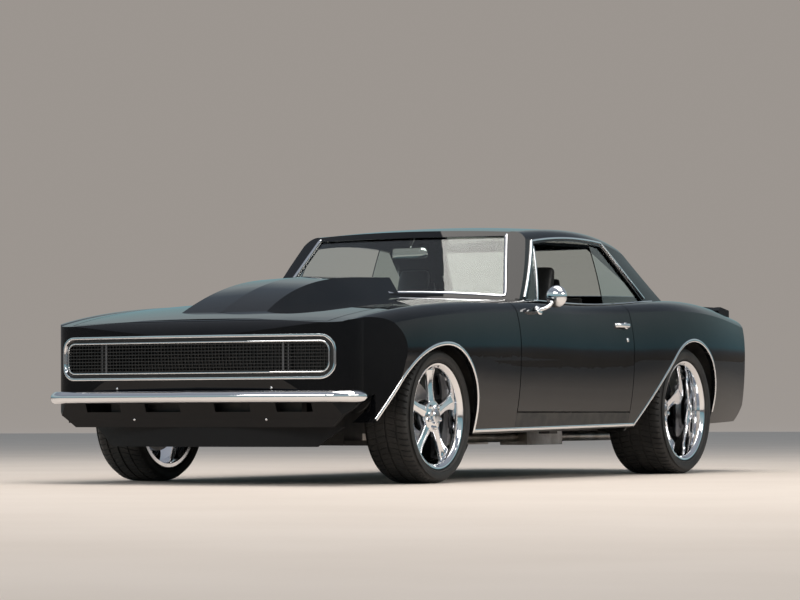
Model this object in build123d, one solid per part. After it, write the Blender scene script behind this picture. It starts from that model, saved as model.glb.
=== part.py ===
"""Two-door hardtop muscle coupe: a black steel body over a floor pan, a bolted front subframe, a live rear axle,
five-spoke wheels, and a hood with a raised cowl scoop. Millimetres; +Z up, the nose at -Y, the car's left at +X.
The origin is on the ground under the middle of the car."""

import math
import os
from build123d import *

# Overall places of the car, along Y and Z
WHEELBASE = 2743.0
FRONT_AXLE_Y = -1413.0
REAR_AXLE_Y = FRONT_AXLE_Y + WHEELBASE
NOSE_Y = -2210.0
TAIL_Y = 2290.0
FAR = 1100.0

# Wheels and tyres
FRONT_TYRE_R = 314.0
FRONT_TYRE_W = 245.0
FRONT_TYRE_X = 750.0
FRONT_RIM_R = 250.0
REAR_TYRE_R = 341.0
REAR_TYRE_W = 325.0
REAR_TYRE_X = 736.0
REAR_RIM_R = 270.0
RIM_SHORT = 12.0
RIM_LIP = 14.0
RIM_LIP_WIDTH = 10.0
RIM_WALL = 12.0
SPOKES = 5
SPOKE_HALF_HUB = 31.0
SPOKE_HALF_RIM = 40.0
SPOKE_THICKNESS = 34.0
FRONT_SPOKE_DEPTH = 26.0
REAR_SPOKE_DEPTH = 128.0
HUB_R = 78.0
HUB_CAP_R = 34.0
HUB_CAP_LENGTH = 22.0
STUB_R = 30.0
STUB_CLEARANCE = 0.8
STUB_LENGTH = 30.0
FRONT_HUB_X = 700.0
REAR_HUB_X = 636.0
DISC_R = 165.0
DISC_THICKNESS = 26.0
DRUM_R = 140.0
DRUM_LENGTH = 54.0

# Steering
KINGPIN_X = 668.0
KNUCKLE_LOW_Z = 200.0
KNUCKLE_TOP_Z = 440.0
ARM_THICKNESS = 24.0
STEERING_WHEEL_R = 178.0
STEERING_GRIP_R = 13.0
SEAT_HALF = 232.0
COLUMN_X = 375.0
COLUMN_TOP_Y = -170.0
COLUMN_TOP_Z = 742.0
COLUMN_SLOPE = 22.0

# Sheet thicknesses and gaps
PANEL = 22.0
NOSE_PANEL = 30.0
DOOR_THICKNESS = 118.0
ROOF_THICKNESS = 30.0
GLASS = 6.0
GLASS_INSET = 8.0
GUTTER = 9.0
GAP = 6.0
DOOR_GAP = 7.5
FENDER_LIP = 5.0
SEAT_GAP = 0.3

# Lines where the outer panels meet, along Y
HEADER_Y = -2148.0
HOOD_REAR_Y = -700.0
DOOR_FRONT_Y = -640.0
DOOR_REAR_Y = 655.0
TRUNK_FRONT_Y = 1660.0
TRUNK_REAR_Y = 2232.0
CABIN_REAR_Y = 1400.0
VALANCE_REAR_Y = -2085.0
REAR_VALANCE_Y = 2120.0

# Half-widths of the openings in the upper body
HOOD_HALF_FRONT = 690.0
HOOD_HALF_REAR = 738.0
COWL_HALF = 716.0
CABIN_HALF = 690.0
TRUNK_HALF_FRONT = 646.0
TRUNK_HALF_REAR = 606.0
TAIL_HALF = 700.0

# Hinges: the door's from its front edge and its skin, the lids' above their sheet
DOOR_HINGE_X = 866.0
DOOR_HINGE_BACK = 100.0
DOOR_HINGE_ZS = (430.0, 700.0)
HINGE_PIN_R = 9.0
HINGE_ARM = 28.0
HOOD_HINGE_Z = 922.0
TRUNK_HINGE_Z = 966.0
LID_HINGE_IN = 12.0
LID_HINGE_X = 150.0
LID_PIN_R = 6.0
LUG_HALF = 6.0
DOOR_CORNER_R = 144.0

# Heights
FLOOR_Z = 236.0
FLOOR_THICKNESS = 16.0
ROCKER_TOP_Z = 330.0
VALANCE_TOP_Z = 405.0
VALANCE_BOTTOM_Z = 265.0
GRILLE_BOTTOM_Z = 480.0
GRILLE_TOP_Z = 688.0
GRILLE_HALF = 744.0
GRILLE_ROUND = 74.0
GRILLE_FRAME = 20.0
GRILLE_BARS = 9
GRILLE_POSTS = 12
BUMPER_Z = 404.0
BUMPER_H = 56.0
BUMPER_HALF = 850.0
FRONT_BUMPER_OUT = 44.0
REAR_BUMPER_OUT = 48.0
MIDDLE_Y = (NOSE_Y - FRONT_BUMPER_OUT + TAIL_Y + REAR_BUMPER_OUT) / 2
REAR_BUMPER_Z = 542.0
REAR_BUMPER_H = 70.0
CHIN_Z = 175.0
CHIN_MIDDLE_Y = NOSE_Y + 92.0
CHIN_END_Y = NOSE_Y + 235.0
TAIL_LAMP_Z = (585.0, 690.0)
TAIL_LAMP_X = (330.0, 640.0)
PLATE_HOLE_X = 89.0
PLATE_HOLE_Z = 650.0
PLATE_HOLE_R = 3.5
JACK_PAD_X = 725.0
JACK_PAD_Z = 224.0

# Cowl scoop on the hood. Columns: y, half-width at its foot, half-width of its top, height above the hood
SCOOP_SECTIONS = (
    (-1940, 262, 236, 4),
    (-1600, 276, 214, 84),
    (-1330, 284, 212, 108),
    (-1000, 294, 218, 108),
    (-742, 300, 222, 104),
)
SCOOP_RIDGE = 10.0
SCOOP_MOUTH_WALL = 14.0
SCOOP_MOUTH_DEPTH = 90.0

# Body sections, nose to tail. Columns: y, then x and z of the sill, of the widest line, of the waist where
# the side rolls over, and of the top edge where the hood, glass or deck begins, then the height on the middle line
BODY_SECTIONS = (
    # y, sill_x, sill_z, wide_x, wide_z, waist_x, waist_z, top_x, top_z, crown_z
    (-2330, 788, 234, 842, 556, 826, 650, 742, 690, 706),
    (-2080, 818, 232, 878, 562, 862, 702, 770, 752, 772),
    (-1760, 845, 228, 904, 567, 886, 752, 782, 802, 826),
    (-1413, 860, 226, 915, 573, 893, 786, 784, 838, 866),
    (-900, 862, 230, 908, 580, 884, 812, 772, 868, 900),
    (-400, 856, 236, 899, 588, 874, 828, 758, 888, 920),
    (150, 853, 245, 895, 597, 866, 830, 760, 884, 915),
    (690, 857, 254, 902, 604, 872, 852, 766, 898, 930),
    (1330, 862, 263, 921, 612, 892, 876, 752, 932, 958),
    (1900, 842, 274, 900, 614, 872, 846, 730, 906, 936),
    (2330, 806, 290, 858, 608, 838, 796, 700, 852, 880),
)
SILL_BULGE = 10.0
SIDE_BULGE = 10.0
SHOULDER_BULGE = 22.0

# Roof sections, front to back. Columns: y, half-width at the belt, then x and z of the drip rail and of the
# roof's corner, then the height on the middle line
ROOF_SECTIONS = (
    (-640, 742, 680, 1090, 570, 1130, 1150),
    (-100, 744, 650, 1208, 556, 1248, 1268),
    (380, 742, 642, 1238, 550, 1280, 1303),
    (860, 738, 632, 1222, 540, 1262, 1288),
    (1300, 732, 612, 1132, 514, 1180, 1210),
    (1680, 726, 592, 1030, 490, 1082, 1112),
)
BELT_BASE_Z = 830.0
PILLAR_BULGE = 12.0
RAIL_BULGE = 14.0

# Glass planes: foot and top of each on the middle line, and how far its sides sweep back or forward
SCREEN_FOOT = (-470.0, 905.0)
SCREEN_TOP = (-165.0, 1262.0)
SCREEN_SWEEP = 150.0
BACKLIGHT_FOOT = (1540.0, 938.0)
BACKLIGHT_TOP = (1040.0, 1262.0)
BACKLIGHT_SWEEP = 90.0
SWEEP_HALF = 760.0
FRAME_UNDER = 45.0

# Wheel openings in the side, from the axle: centre along Z and radius of the arc over the wheel
FRONT_ARCH_R = 332.0
FRONT_ARCH_Z = 314.0
FRONT_ARCH_LEAD_R = 552.0
FRONT_ARCH_SLOPE = 50.0
FRONT_ARCH_END = -665.0
REAR_ARCH_R = 342.0
REAR_ARCH_Z = 372.0
REAR_ARCH_SHIFT = 55.0
REAR_ARCH_SLOPE = 41.0
LINER_CLEARANCE = 54.0
LINER = 10.0
TUB_CLEARANCE = 30.0
FRONT_WALL_X = 440.0
REAR_WALL_X = 545.0
TUNNEL_HALF = 126.0
TUNNEL_Z = 426.0


def side_plane(x=0.0):
    """Plane across the car, drawn with Y and Z."""
    return Plane(origin=(x, 0, 0), x_dir=(0, 1, 0), z_dir=(1, 0, 0))


def cross_plane(y):
    """Plane along the car at y, drawn with X and Z."""
    return Plane(origin=(0, y, 0), x_dir=(1, 0, 0), z_dir=(0, -1, 0))


def bulged(p, q, bulge):
    """Arc from p to q that stands bulge off its chord, to the left of the way p to q."""
    dx, dy = q[0] - p[0], q[1] - p[1]
    length = math.hypot(dx, dy)
    middle = ((p[0] + q[0]) / 2 - dy / length * bulge, (p[1] + q[1]) / 2 + dx / length * bulge)
    return ThreePointArc(p, middle, q)


def outline(*edges):
    """Closed face of the edges given."""
    return make_face(Wire(edges))


def polygon(*points):
    """Flat face with straight sides."""
    return make_face(Polyline(*points, close=True))


def block(x0, x1, y0, y1, z0, z1):
    """Box between two corners."""
    return Pos((x0 + x1) / 2, (y0 + y1) / 2, (z0 + z1) / 2) * Box(x1 - x0, y1 - y0, z1 - z0)


def tube(p, q, radius):
    """Round bar from p to q."""
    a, b = Vector(*p), Vector(*q)
    plane = Plane(origin=a, z_dir=(b - a).normalized())
    return plane * extrude(Circle(radius), (b - a).length)


def both_sides(shape):
    """The shape and its mirror image on the other side of the car."""
    return [shape, mirror(shape, about=Plane.YZ)]


def lower_body(inset=0.0, open_below=0.0):
    """Lower body, lofted through its sections, moved in by inset."""
    sections = []
    for y, sx, sz, wx, wz, ax, az, tx, tz, cz in BODY_SECTIONS:
        low = sz - open_below
        left = [(sx - inset, low), (wx - inset, wz), (ax - inset, az - 0.25 * inset), (tx - 0.5 * inset, tz - inset)]
        right = [(-x, z) for x, z in reversed(left)]
        bulges = (SILL_BULGE, SIDE_BULGE, SHOULDER_BULGE)
        edges = [Line(right[-1], left[0])]
        edges += [bulged(p, q, -b) for p, q, b in zip(left, left[1:], bulges)]
        edges.append(ThreePointArc(left[-1], (0, cz - inset), right[0]))
        edges += [bulged(p, q, -b) for p, q, b in zip(right, right[1:], reversed(bulges))]
        sections.append(cross_plane(y) * outline(*edges))
    return loft(sections)


def upper_body(inset=0.0):
    """Greenhouse before its screens are cut, lofted through its sections, moved in by inset."""
    sections = []
    for y, base, rx, rz, cx, cz, crown in ROOF_SECTIONS:
        left = [(base - inset, BELT_BASE_Z), (rx - inset, rz), (cx - 0.6 * inset, cz - inset)]
        right = [(-x, z) for x, z in reversed(left)]
        bulges = (PILLAR_BULGE, RAIL_BULGE)
        edges = [Line(right[-1], left[0])]
        edges += [bulged(p, q, -b) for p, q, b in zip(left, left[1:], bulges)]
        edges.append(ThreePointArc(left[-1], (0, crown - inset), right[0]))
        edges += [bulged(p, q, -b) for p, q, b in zip(right, right[1:], reversed(bulges))]
        sections.append(cross_plane(y) * outline(*edges))
    return loft(sections)


def leaning(foot, top, sweep, inset=0.0):
    """Solid behind a leaning screen that curves across the car; inset moves the screen in."""
    direction = 1 if top[0] > foot[0] else -1
    lean = Vector(0, top[0] - foot[0], top[1] - foot[1]).normalized()
    face_y = foot[0] + direction * inset / abs(lean.Z)
    back_y = face_y + direction * 3200
    edge_y = face_y + direction * sweep
    shape = outline(
        ThreePointArc((-SWEEP_HALF, edge_y), (0, face_y), (SWEEP_HALF, edge_y)),
        Line((SWEEP_HALF, edge_y), (SWEEP_HALF, back_y)),
        Line((SWEEP_HALF, back_y), (-SWEEP_HALF, back_y)),
        Line((-SWEEP_HALF, back_y), (-SWEEP_HALF, edge_y)),
    )
    reach = 900.0
    start = (Plane.XY.offset(foot[1]) * shape).moved(Location(lean * -reach))
    return extrude(start, amount=2 * reach, dir=lean)


def greenhouse(inset=0.0):
    """Whole greenhouse solid between its two glass planes, moved in by inset."""
    whole = upper_body(inset) & leaning(SCREEN_FOOT, SCREEN_TOP, SCREEN_SWEEP, inset)
    return whole & leaning(BACKLIGHT_FOOT, BACKLIGHT_TOP, BACKLIGHT_SWEEP, inset)


def front_opening(grow=0.0):
    """Side outline of the front wheel opening, cut right across; grow widens it."""
    radius, lead = FRONT_ARCH_R + grow, FRONT_ARCH_LEAD_R + grow
    cy, cz = FRONT_AXLE_Y, FRONT_ARCH_Z
    lead_z = cz + FRONT_ARCH_R - FRONT_ARCH_LEAD_R
    slope = math.radians(FRONT_ARCH_SLOPE)
    top = (cy, cz + radius)
    tangent = (cy - lead * math.sin(slope), lead_z + lead * math.cos(slope))
    mid = (cy - lead * math.sin(slope / 2), lead_z + lead * math.cos(slope / 2))
    foot_z = 268.0
    foot = (tangent[0] - (tangent[1] - foot_z) / math.tan(slope), foot_z)
    end = (cy + FRONT_ARCH_END - grow, 228.0)
    rear_mid = (cy + radius * math.sin(math.pi / 4), cz + radius * math.cos(math.pi / 4))
    face = side_plane(-FAR) * outline(
        Line((cy + radius, 100), (cy + radius, cz)),
        ThreePointArc((cy + radius, cz), rear_mid, top),
        ThreePointArc(top, mid, tangent),
        Line(tangent, foot),
        bulged(foot, end, 9),
        Line(end, (end[0], 100)),
        Line((end[0], 100), (cy + radius, 100)),
    )
    return extrude(face, 2 * FAR)


def rear_opening(grow=0.0):
    """Side outline of the rear wheel opening, cut right across; grow widens it."""
    radius = REAR_ARCH_R + grow
    cy, cz = REAR_AXLE_Y + REAR_ARCH_SHIFT, REAR_ARCH_Z
    slope = math.radians(REAR_ARCH_SLOPE)
    tangent = (cy - radius * math.sin(slope), cz + radius * math.cos(slope))
    foot_z = 100.0
    foot = (tangent[0] - (tangent[1] - foot_z) / math.tan(slope), foot_z)
    mid = (cy + radius * math.sin(0.5), cz + radius * math.cos(0.5))
    face = side_plane(-FAR) * outline(
        Line((cy + radius, foot_z), (cy + radius, cz)),
        ThreePointArc((cy + radius, cz), mid, tangent),
        Line(tangent, foot),
        Line(foot, (cy + radius, foot_z)),
    )
    return extrude(face, 2 * FAR)


def plan_prism(face, z0=-100.0, z1=2000.0):
    """Plan outline pulled up between two heights."""
    return extrude(Plane.XY.offset(z0) * face, z1 - z0)


def side_prism(face, half):
    """Side outline drawn with Y and Z, pulled across the car to half each way."""
    return extrude(side_plane(-half) * face, 2 * half)


def front_prism(face, y0, y1):
    """Front outline drawn with X and Z, pulled along the car."""
    return extrude(cross_plane(y1) * face, y1 - y0)


def end_trim():
    """Plan and side outline that round the nose and the tail."""
    corner = 690.0
    edges = [ThreePointArc((-corner, NOSE_Y + 42), (0, NOSE_Y), (corner, NOSE_Y + 42))]
    edges.append(ThreePointArc((corner, NOSE_Y + 42), (778, NOSE_Y + 84), (816, NOSE_Y + 174)))
    edges.append(ThreePointArc((816, NOSE_Y + 174), (882, NOSE_Y + 350), (960, NOSE_Y + 640)))
    edges.append(Line((960, NOSE_Y + 640), (960, TAIL_Y - 260)))
    edges.append(Line((960, TAIL_Y - 260), (880, TAIL_Y - 110)))
    edges.append(ThreePointArc((880, TAIL_Y - 110), (810, TAIL_Y - 42), (corner, TAIL_Y - 24)))
    edges.append(ThreePointArc((corner, TAIL_Y - 24), (0, TAIL_Y), (-corner, TAIL_Y - 24)))
    edges.append(ThreePointArc((-corner, TAIL_Y - 24), (-810, TAIL_Y - 42), (-880, TAIL_Y - 110)))
    edges.append(Line((-880, TAIL_Y - 110), (-960, TAIL_Y - 260)))
    edges.append(Line((-960, TAIL_Y - 260), (-960, NOSE_Y + 640)))
    edges.append(ThreePointArc((-960, NOSE_Y + 640), (-882, NOSE_Y + 350), (-816, NOSE_Y + 174)))
    edges.append(ThreePointArc((-816, NOSE_Y + 174), (-778, NOSE_Y + 84), (-corner, NOSE_Y + 42)))
    side = outline(
        Line((NOSE_Y + 120, 150), (NOSE_Y + 80, 300)),
        Line((NOSE_Y + 80, 300), (NOSE_Y + 30, 420)),
        Line((NOSE_Y + 30, 420), (NOSE_Y - 5, 640)),
        ThreePointArc((NOSE_Y - 5, 640), (NOSE_Y + 12, 705), (NOSE_Y + 90, 760)),
        Line((NOSE_Y + 90, 760), (NOSE_Y + 90, 1400)),
        Line((NOSE_Y + 90, 1400), (TAIL_Y - 90, 1400)),
        Line((TAIL_Y - 90, 1400), (TAIL_Y - 62, 868)),
        ThreePointArc((TAIL_Y - 62, 868), (TAIL_Y - 12, 740), (TAIL_Y, 600)),
        Line((TAIL_Y, 600), (TAIL_Y - 40, 430)),
        ThreePointArc((TAIL_Y - 40, 430), (TAIL_Y - 90, 330), (TAIL_Y - 210, 262)),
        Line((TAIL_Y - 210, 262), (NOSE_Y + 120, 150)),
    )
    tuck_y = FRONT_AXLE_Y - 560
    tuck = polygon(
        (-FAR, 1400), (-FAR, 430), (-830, 412), (-800, 350), (-690, VALANCE_BOTTOM_Z - 6), (-640, 150),
        (640, 150), (690, VALANCE_BOTTOM_Z - 6), (800, 350), (830, 412), (FAR, 430), (FAR, 1400)
    )
    nose_part = front_prism(tuck, NOSE_Y - 200, tuck_y) + block(-FAR, FAR, tuck_y, TAIL_Y + 200, 100, 1400)
    return plan_prism(outline(*edges)) & side_prism(side, FAR) & nose_part


def strip(y0, y1, half0, half1):
    """Plan prism that narrows from half0 at y0 to half1 at y1."""
    return plan_prism(polygon((-half0, y0), (half0, y0), (half1, y1), (-half1, y1)))


def hood_half(y):
    """Half-width of the hood at y."""
    share = (y - HEADER_Y) / (HOOD_REAR_Y - HEADER_Y)
    return HOOD_HALF_FRONT + share * (HOOD_HALF_REAR - HOOD_HALF_FRONT)


def trunk_half(y):
    """Half-width of the opening for the deck and the trunk lid at y."""
    share = (y - CABIN_REAR_Y) / (TRUNK_REAR_Y - CABIN_REAR_Y)
    return TRUNK_HALF_FRONT + share * (TRUNK_HALF_REAR - TRUNK_HALF_FRONT)


def whole_of(half):
    """A left half joined to its mirror image."""
    return half + mirror(half, about=Plane.YZ)


def export(name, *shapes):
    """Writes one node, moved so that the middle of the length is at Y = 0. Several solids share one file."""
    solids = [Pos(0, -MIDDLE_Y, 0) * s for shape in shapes for s in shape.solids()]
    whole = Compound(children=solids) if len(solids) > 1 else solids[0]
    export_step(whole, f"parts/{name}.step")


os.makedirs("parts", exist_ok=True)

# The lower body as solids: its outside, and the hollow inside its sheet
TRIM = end_trim()
OUTER = lower_body() & TRIM
INNER = lower_body(PANEL, 60) & (Pos(0, NOSE_PANEL, 0) * TRIM) & (Pos(0, -NOSE_PANEL, 0) * TRIM)
SKIN = OUTER - INNER
SHEET = OUTER - lower_body(PANEL, 60)
FRONT_OPENING = front_opening()
REAR_OPENING = rear_opening()

# Plan zones of the upper body
OVER = 200.0
HOOD_OPENING = strip(HEADER_Y - OVER, HOOD_REAR_Y + GAP, hood_half(HEADER_Y - OVER) + GAP, HOOD_HALF_REAR + GAP)
HOOD_ZONE = strip(HEADER_Y, HOOD_REAR_Y, HOOD_HALF_FRONT, HOOD_HALF_REAR)
TRUNK_OPENING = strip(CABIN_REAR_Y, TRUNK_REAR_Y, TRUNK_HALF_FRONT, TRUNK_HALF_REAR)
LID_ZONE = strip(
    TRUNK_FRONT_Y, TRUNK_REAR_Y - GAP, trunk_half(TRUNK_FRONT_Y) - GAP, TRUNK_HALF_REAR - GAP
)
GREENHOUSE = greenhouse()
GREENHOUSE_INSIDE = greenhouse(ROOF_THICKNESS)
GLASS_BAND = greenhouse(GLASS_INSET) - greenhouse(GLASS_INSET + GLASS)
SIDE_GLASS_BAND = greenhouse(ROOF_THICKNESS / 2 - GLASS / 2) - greenhouse(ROOF_THICKNESS / 2 + GLASS / 2)
HINGE_Y = DOOR_FRONT_Y + DOOR_HINGE_BACK
DOOR_RADIUS = DOOR_REAR_Y - HINGE_Y


def nose_band(near, far):
    """Layer that follows the nose, from near to far behind its face."""
    layer = (Pos(0, near, 0) * TRIM) - (Pos(0, far, 0) * TRIM)
    return layer & block(-FAR, FAR, NOSE_Y - 200, NOSE_Y + 400, 0, 900)


def tail_band(near, far):
    """Layer that follows the tail, from near to far inside its face."""
    layer = (Pos(0, -near, 0) * TRIM) - (Pos(0, -far, 0) * TRIM)
    return layer & block(-FAR, FAR, TAIL_Y - 400, TAIL_Y + 200, 0, 1000)


def grille_outline(shrink=0.0):
    """Front outline of the grille's opening with round ends, drawn with X and Z."""
    width = 2 * (GRILLE_HALF - shrink)
    height = GRILLE_TOP_Z - GRILLE_BOTTOM_Z - 2 * shrink
    middle = (GRILLE_TOP_Z + GRILLE_BOTTOM_Z) / 2
    return Pos(0, middle) * RectangleRounded(width, height, GRILLE_ROUND - shrink)


GRILLE_HOLE = front_prism(grille_outline(), NOSE_Y - 50, NOSE_Y + 300)


def fender():
    """Front fender: outside sheet from the nose to the door, rolled over to the hood's edge."""
    end = DOOR_FRONT_Y - DOOR_GAP
    shape = SKIN & block(0, FAR, NOSE_Y - 50, end, 100, 1200)
    shape = shape - HOOD_OPENING - FRONT_OPENING - GRILLE_HOLE
    shape = shape - block(-1, FAR, NOSE_Y - 50, VALANCE_REAR_Y, 0, VALANCE_TOP_Z)
    shape = shape - block(-1, COWL_HALF, HOOD_REAR_Y + GAP - 1, end + 1, 0, 1200)
    lip = lower_body(FENDER_LIP) & block(0, FAR, end - 30, end + 1, ROCKER_TOP_Z - 20, 1200)
    shape = shape - lip
    return max(shape.solids(), key=lambda s: s.volume)


def nose_panel():
    """Sheet over and under the grille, between the fenders."""
    zone = block(-FAR, FAR, NOSE_Y - 50, HEADER_Y, VALANCE_TOP_Z, 900)
    return (SKIN & zone & HOOD_OPENING) - GRILLE_HOLE


def valance():
    """Sheet under the front bumper, with four air slots."""
    shape = SKIN & block(-FAR, FAR, NOSE_Y - 50, VALANCE_REAR_Y, VALANCE_BOTTOM_Z, VALANCE_TOP_Z)
    for x in (-520, -190, 190, 520):
        shape = shape - block(x - 95, x + 95, NOSE_Y - 50, NOSE_Y + 250, 335, 375)
    return shape


def chin_spoiler():
    """Bowed air dam under the valance, with tapered ends."""
    low_half, top_half = 560.0, 675.0
    bow = ThreePointArc((-top_half, CHIN_END_Y), (0, CHIN_MIDDLE_Y), (top_half, CHIN_END_Y))
    back = ThreePointArc((top_half, CHIN_END_Y + 16), (0, CHIN_MIDDLE_Y + 16), (-top_half, CHIN_END_Y + 16))
    ends = [Line(bow @ 1, back @ 0), Line(back @ 1, bow @ 0)]
    plan = plan_prism(outline(bow, ends[0], back, ends[1]), CHIN_Z, VALANCE_BOTTOM_Z)
    front = polygon(
        (-top_half, VALANCE_BOTTOM_Z), (-low_half, CHIN_Z), (low_half, CHIN_Z), (top_half, VALANCE_BOTTOM_Z)
    )
    return plan & front_prism(front, NOSE_Y - 50, NOSE_Y + 400)


def grille():
    """Blacked-out grille: level bars with posts behind them, on a back plate."""
    inside = front_prism(grille_outline(GRILLE_FRAME), NOSE_Y - 50, NOSE_Y + 300)
    pieces = nose_band(52, 56) & inside
    bars = nose_band(24, 34) & inside
    posts = nose_band(33, 53) & inside
    height = GRILLE_TOP_Z - GRILLE_BOTTOM_Z - 2 * GRILLE_FRAME
    pitch = height / GRILLE_BARS
    low = GRILLE_BOTTOM_Z + GRILLE_FRAME
    rows = [block(-FAR, FAR, -3000, 0, low + pitch * (i + 0.3), low + pitch * (i + 0.7)) for i in range(GRILLE_BARS)]
    step = 2 * GRILLE_HALF / GRILLE_POSTS
    columns = [block(-GRILLE_HALF + step * (i + 0.5) - 3, -GRILLE_HALF + step * (i + 0.5) + 3, -3000, 0, 0, 900)
               for i in range(GRILLE_POSTS)]
    shape = pieces
    for column in columns:
        shape = shape + (posts & column)
    for row in rows:
        shape = shape + (bars & row)
    return shape


def grille_frame():
    """Bright frame round the grille, seated in the nose's opening."""
    ring = grille_outline() - grille_outline(GRILLE_FRAME)
    frame = nose_band(-6, 56) & front_prism(ring, NOSE_Y - 50, NOSE_Y + 300)
    return frame - block(-HOOD_HALF_FRONT - 10, HOOD_HALF_FRONT + 10, HEADER_Y, 0, 600, 900)


def blade(y_middle, y_shoulder, y_end, depth, z, height):
    """Slim bumper bar: a plan arc with wrapped ends, between two heights."""
    toward = 1 if y_end > y_middle else -1
    d = toward * depth
    shoulder, end = 0.83 * BUMPER_HALF, BUMPER_HALF
    edges = [
        ThreePointArc((-shoulder, y_shoulder), (0, y_middle), (shoulder, y_shoulder)),
        ThreePointArc((shoulder, y_shoulder), (end - 34, y_shoulder + toward * 46), (end, y_end)),
        Line((end, y_end), (end - depth * 0.5, y_end)),
        ThreePointArc(
            (end - depth * 0.5, y_end), (end - 34 - depth * 0.6, y_shoulder + toward * 46 + d * 0.6),
            (shoulder - 20, y_shoulder + d)
        ),
        ThreePointArc((shoulder - 20, y_shoulder + d), (0, y_middle + d), (20 - shoulder, y_shoulder + d)),
        ThreePointArc(
            (20 - shoulder, y_shoulder + d), (34 - end + depth * 0.6, y_shoulder + toward * 46 + d * 0.6),
            (depth * 0.5 - end, y_end)
        ),
        Line((depth * 0.5 - end, y_end), (-end, y_end)),
        ThreePointArc((-end, y_end), (34 - end, y_shoulder + toward * 46), (-shoulder, y_shoulder)),
    ]
    return plan_prism(outline(*edges), z - height / 2, z + height / 2)


def front_bumper():
    """Slim bright bar across the nose on two brackets."""
    bar = blade(NOSE_Y - FRONT_BUMPER_OUT, NOSE_Y + 8, NOSE_Y + 174, 34, BUMPER_Z, BUMPER_H) - OUTER
    brackets = [block(s * 420 - 30, s * 420 + 30, NOSE_Y - 10, NOSE_Y + 90, BUMPER_Z - 16, BUMPER_Z + 16) for s in (-1, 1)]
    shape = bar
    for bracket in brackets:
        shape = shape + (bracket - OUTER)
    return shape


def rear_bumper():
    """Slim bright bar across the tail on two brackets."""
    bar = blade(TAIL_Y + REAR_BUMPER_OUT, TAIL_Y + 26, TAIL_Y - 150, 34, REAR_BUMPER_Z, REAR_BUMPER_H)
    shape = bar - OUTER
    for s in (-1, 1):
        shape = shape + (block(s * 420 - 30, s * 420 + 30, TAIL_Y - 60, TAIL_Y + 34, 525, 557) - OUTER)
    return shape


def scoop():
    """Raised cowl scoop with a low ridge, open at its back."""
    sections = []
    for y, foot, top, height in SCOOP_SECTIONS:
        base = crown_at(y) - 60
        crest = crown_at(y) + height
        sections.append(cross_plane(y) * polygon(
            (-foot, base), (foot, base), (foot, base + 34), (top, crest - SCOOP_RIDGE), (0, crest),
            (-top, crest - SCOOP_RIDGE), (-foot, base + 34)
        ))
    return loft(sections, ruled=False)


def crown_at(y):
    """Height of the body's middle line at y."""
    for low, high in zip(BODY_SECTIONS, BODY_SECTIONS[1:]):
        if low[0] <= y <= high[0]:
            share = (y - low[0]) / (high[0] - low[0])
            return low[-1] + share * (high[-1] - low[-1])
    return BODY_SECTIONS[-1][-1]


def hinge_ears(y, z, foot_z):
    """Two pairs of ears on a lid round its hinge pins, with their bores."""
    ears = None
    for s in (-1, 1):
        for inner in (LUG_HALF + 5, -LUG_HALF - 11):
            x = s * LID_HINGE_X + inner
            ear = block(x, x + 6, y - 11, y + 11, foot_z, z) + tube((x, y, z), (x + 6, y, z), 11)
            ears = ear if ears is None else ears + ear
    return ears - tube((-300, y, z), (300, y, z), LID_PIN_R + STUB_CLEARANCE)


def hinge_lugs(y, z, toward):
    """Fixed lugs with the hinge pins of a lid; toward is the side of the pin that their roots are on."""
    side = polygon(
        (y - toward * 7, z - 6), (y - toward * 7, z + 8), (y + toward * 20, z + 8), (y + toward * 36, z - 10),
        (y + toward * 36, z - 36), (y + toward * 20, z - 36), (y + toward * 20, z - 6)
    )
    lugs = None
    for s in (-1, 1):
        x = s * LID_HINGE_X
        lug = extrude(side_plane(x - LUG_HALF) * side, 2 * LUG_HALF) + tube((x - 18, y, z), (x + 18, y, z), LID_PIN_R)
        lugs = lug if lugs is None else lugs + lug
    return lugs


def hood():
    """Hood sheet, crowned, with the cowl scoop raised on it."""
    sheet = SHEET & HOOD_ZONE & block(-FAR, FAR, HEADER_Y + GAP, HOOD_REAR_Y, 600, 1200)
    rear_y = SCOOP_SECTIONS[-1][0]
    _, foot, top, height = SCOOP_SECTIONS[-1]
    base = crown_at(rear_y) + 2
    mouth = front_prism(polygon(
        (16 - foot, base), (foot - 16, base), (top - SCOOP_MOUTH_WALL, base + height - 26), (0, base + height - 16),
        (SCOOP_MOUTH_WALL - top, base + height - 26)
    ), rear_y - SCOOP_MOUTH_DEPTH, rear_y + 10)
    raised = scoop() - lower_body(PANEL - 2, 400)
    return sheet + raised - mouth + hinge_ears(HOOD_REAR_Y - LID_HINGE_IN, HOOD_HINGE_Z, HOOD_HINGE_Z - 38)


def door():
    """Left door: a full-depth slab with the body's skin, cut by the arc that its rear edge swings through."""
    zone = block(0, FAR, DOOR_FRONT_Y, DOOR_REAR_Y + 20, ROCKER_TOP_Z + GAP, 1200)
    slab = (OUTER & zone) - lower_body(DOOR_THICKNESS, 60)
    slab = slab & block(COWL_HALF + GAP, FAR, -2000, 2000, 0, 1200)
    slab = slab & (Pos(DOOR_HINGE_X, HINGE_Y, 600) * Cylinder(DOOR_RADIUS, 1600))
    corner = block(0, DOOR_HINGE_X, DOOR_FRONT_Y - 20, HINGE_Y, 770, 1200)
    slab = slab - (corner - (Pos(DOOR_HINGE_X, HINGE_Y, 600) * Cylinder(DOOR_CORNER_R, 1600)))
    for z in DOOR_HINGE_ZS:
        low, high = z - HINGE_ARM / 2 - 4, z + HINGE_ARM / 2 + 4
        slab = slab - block(0, DOOR_HINGE_X + 14, DOOR_FRONT_Y - 20, HINGE_Y + 24, low, high)
        slab = slab - (Pos(DOOR_HINGE_X, HINGE_Y, z) * Cylinder(HINGE_PIN_R + STUB_CLEARANCE, HINGE_ARM + 44))
    return max(slab.solids(), key=lambda s: s.volume)


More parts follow.
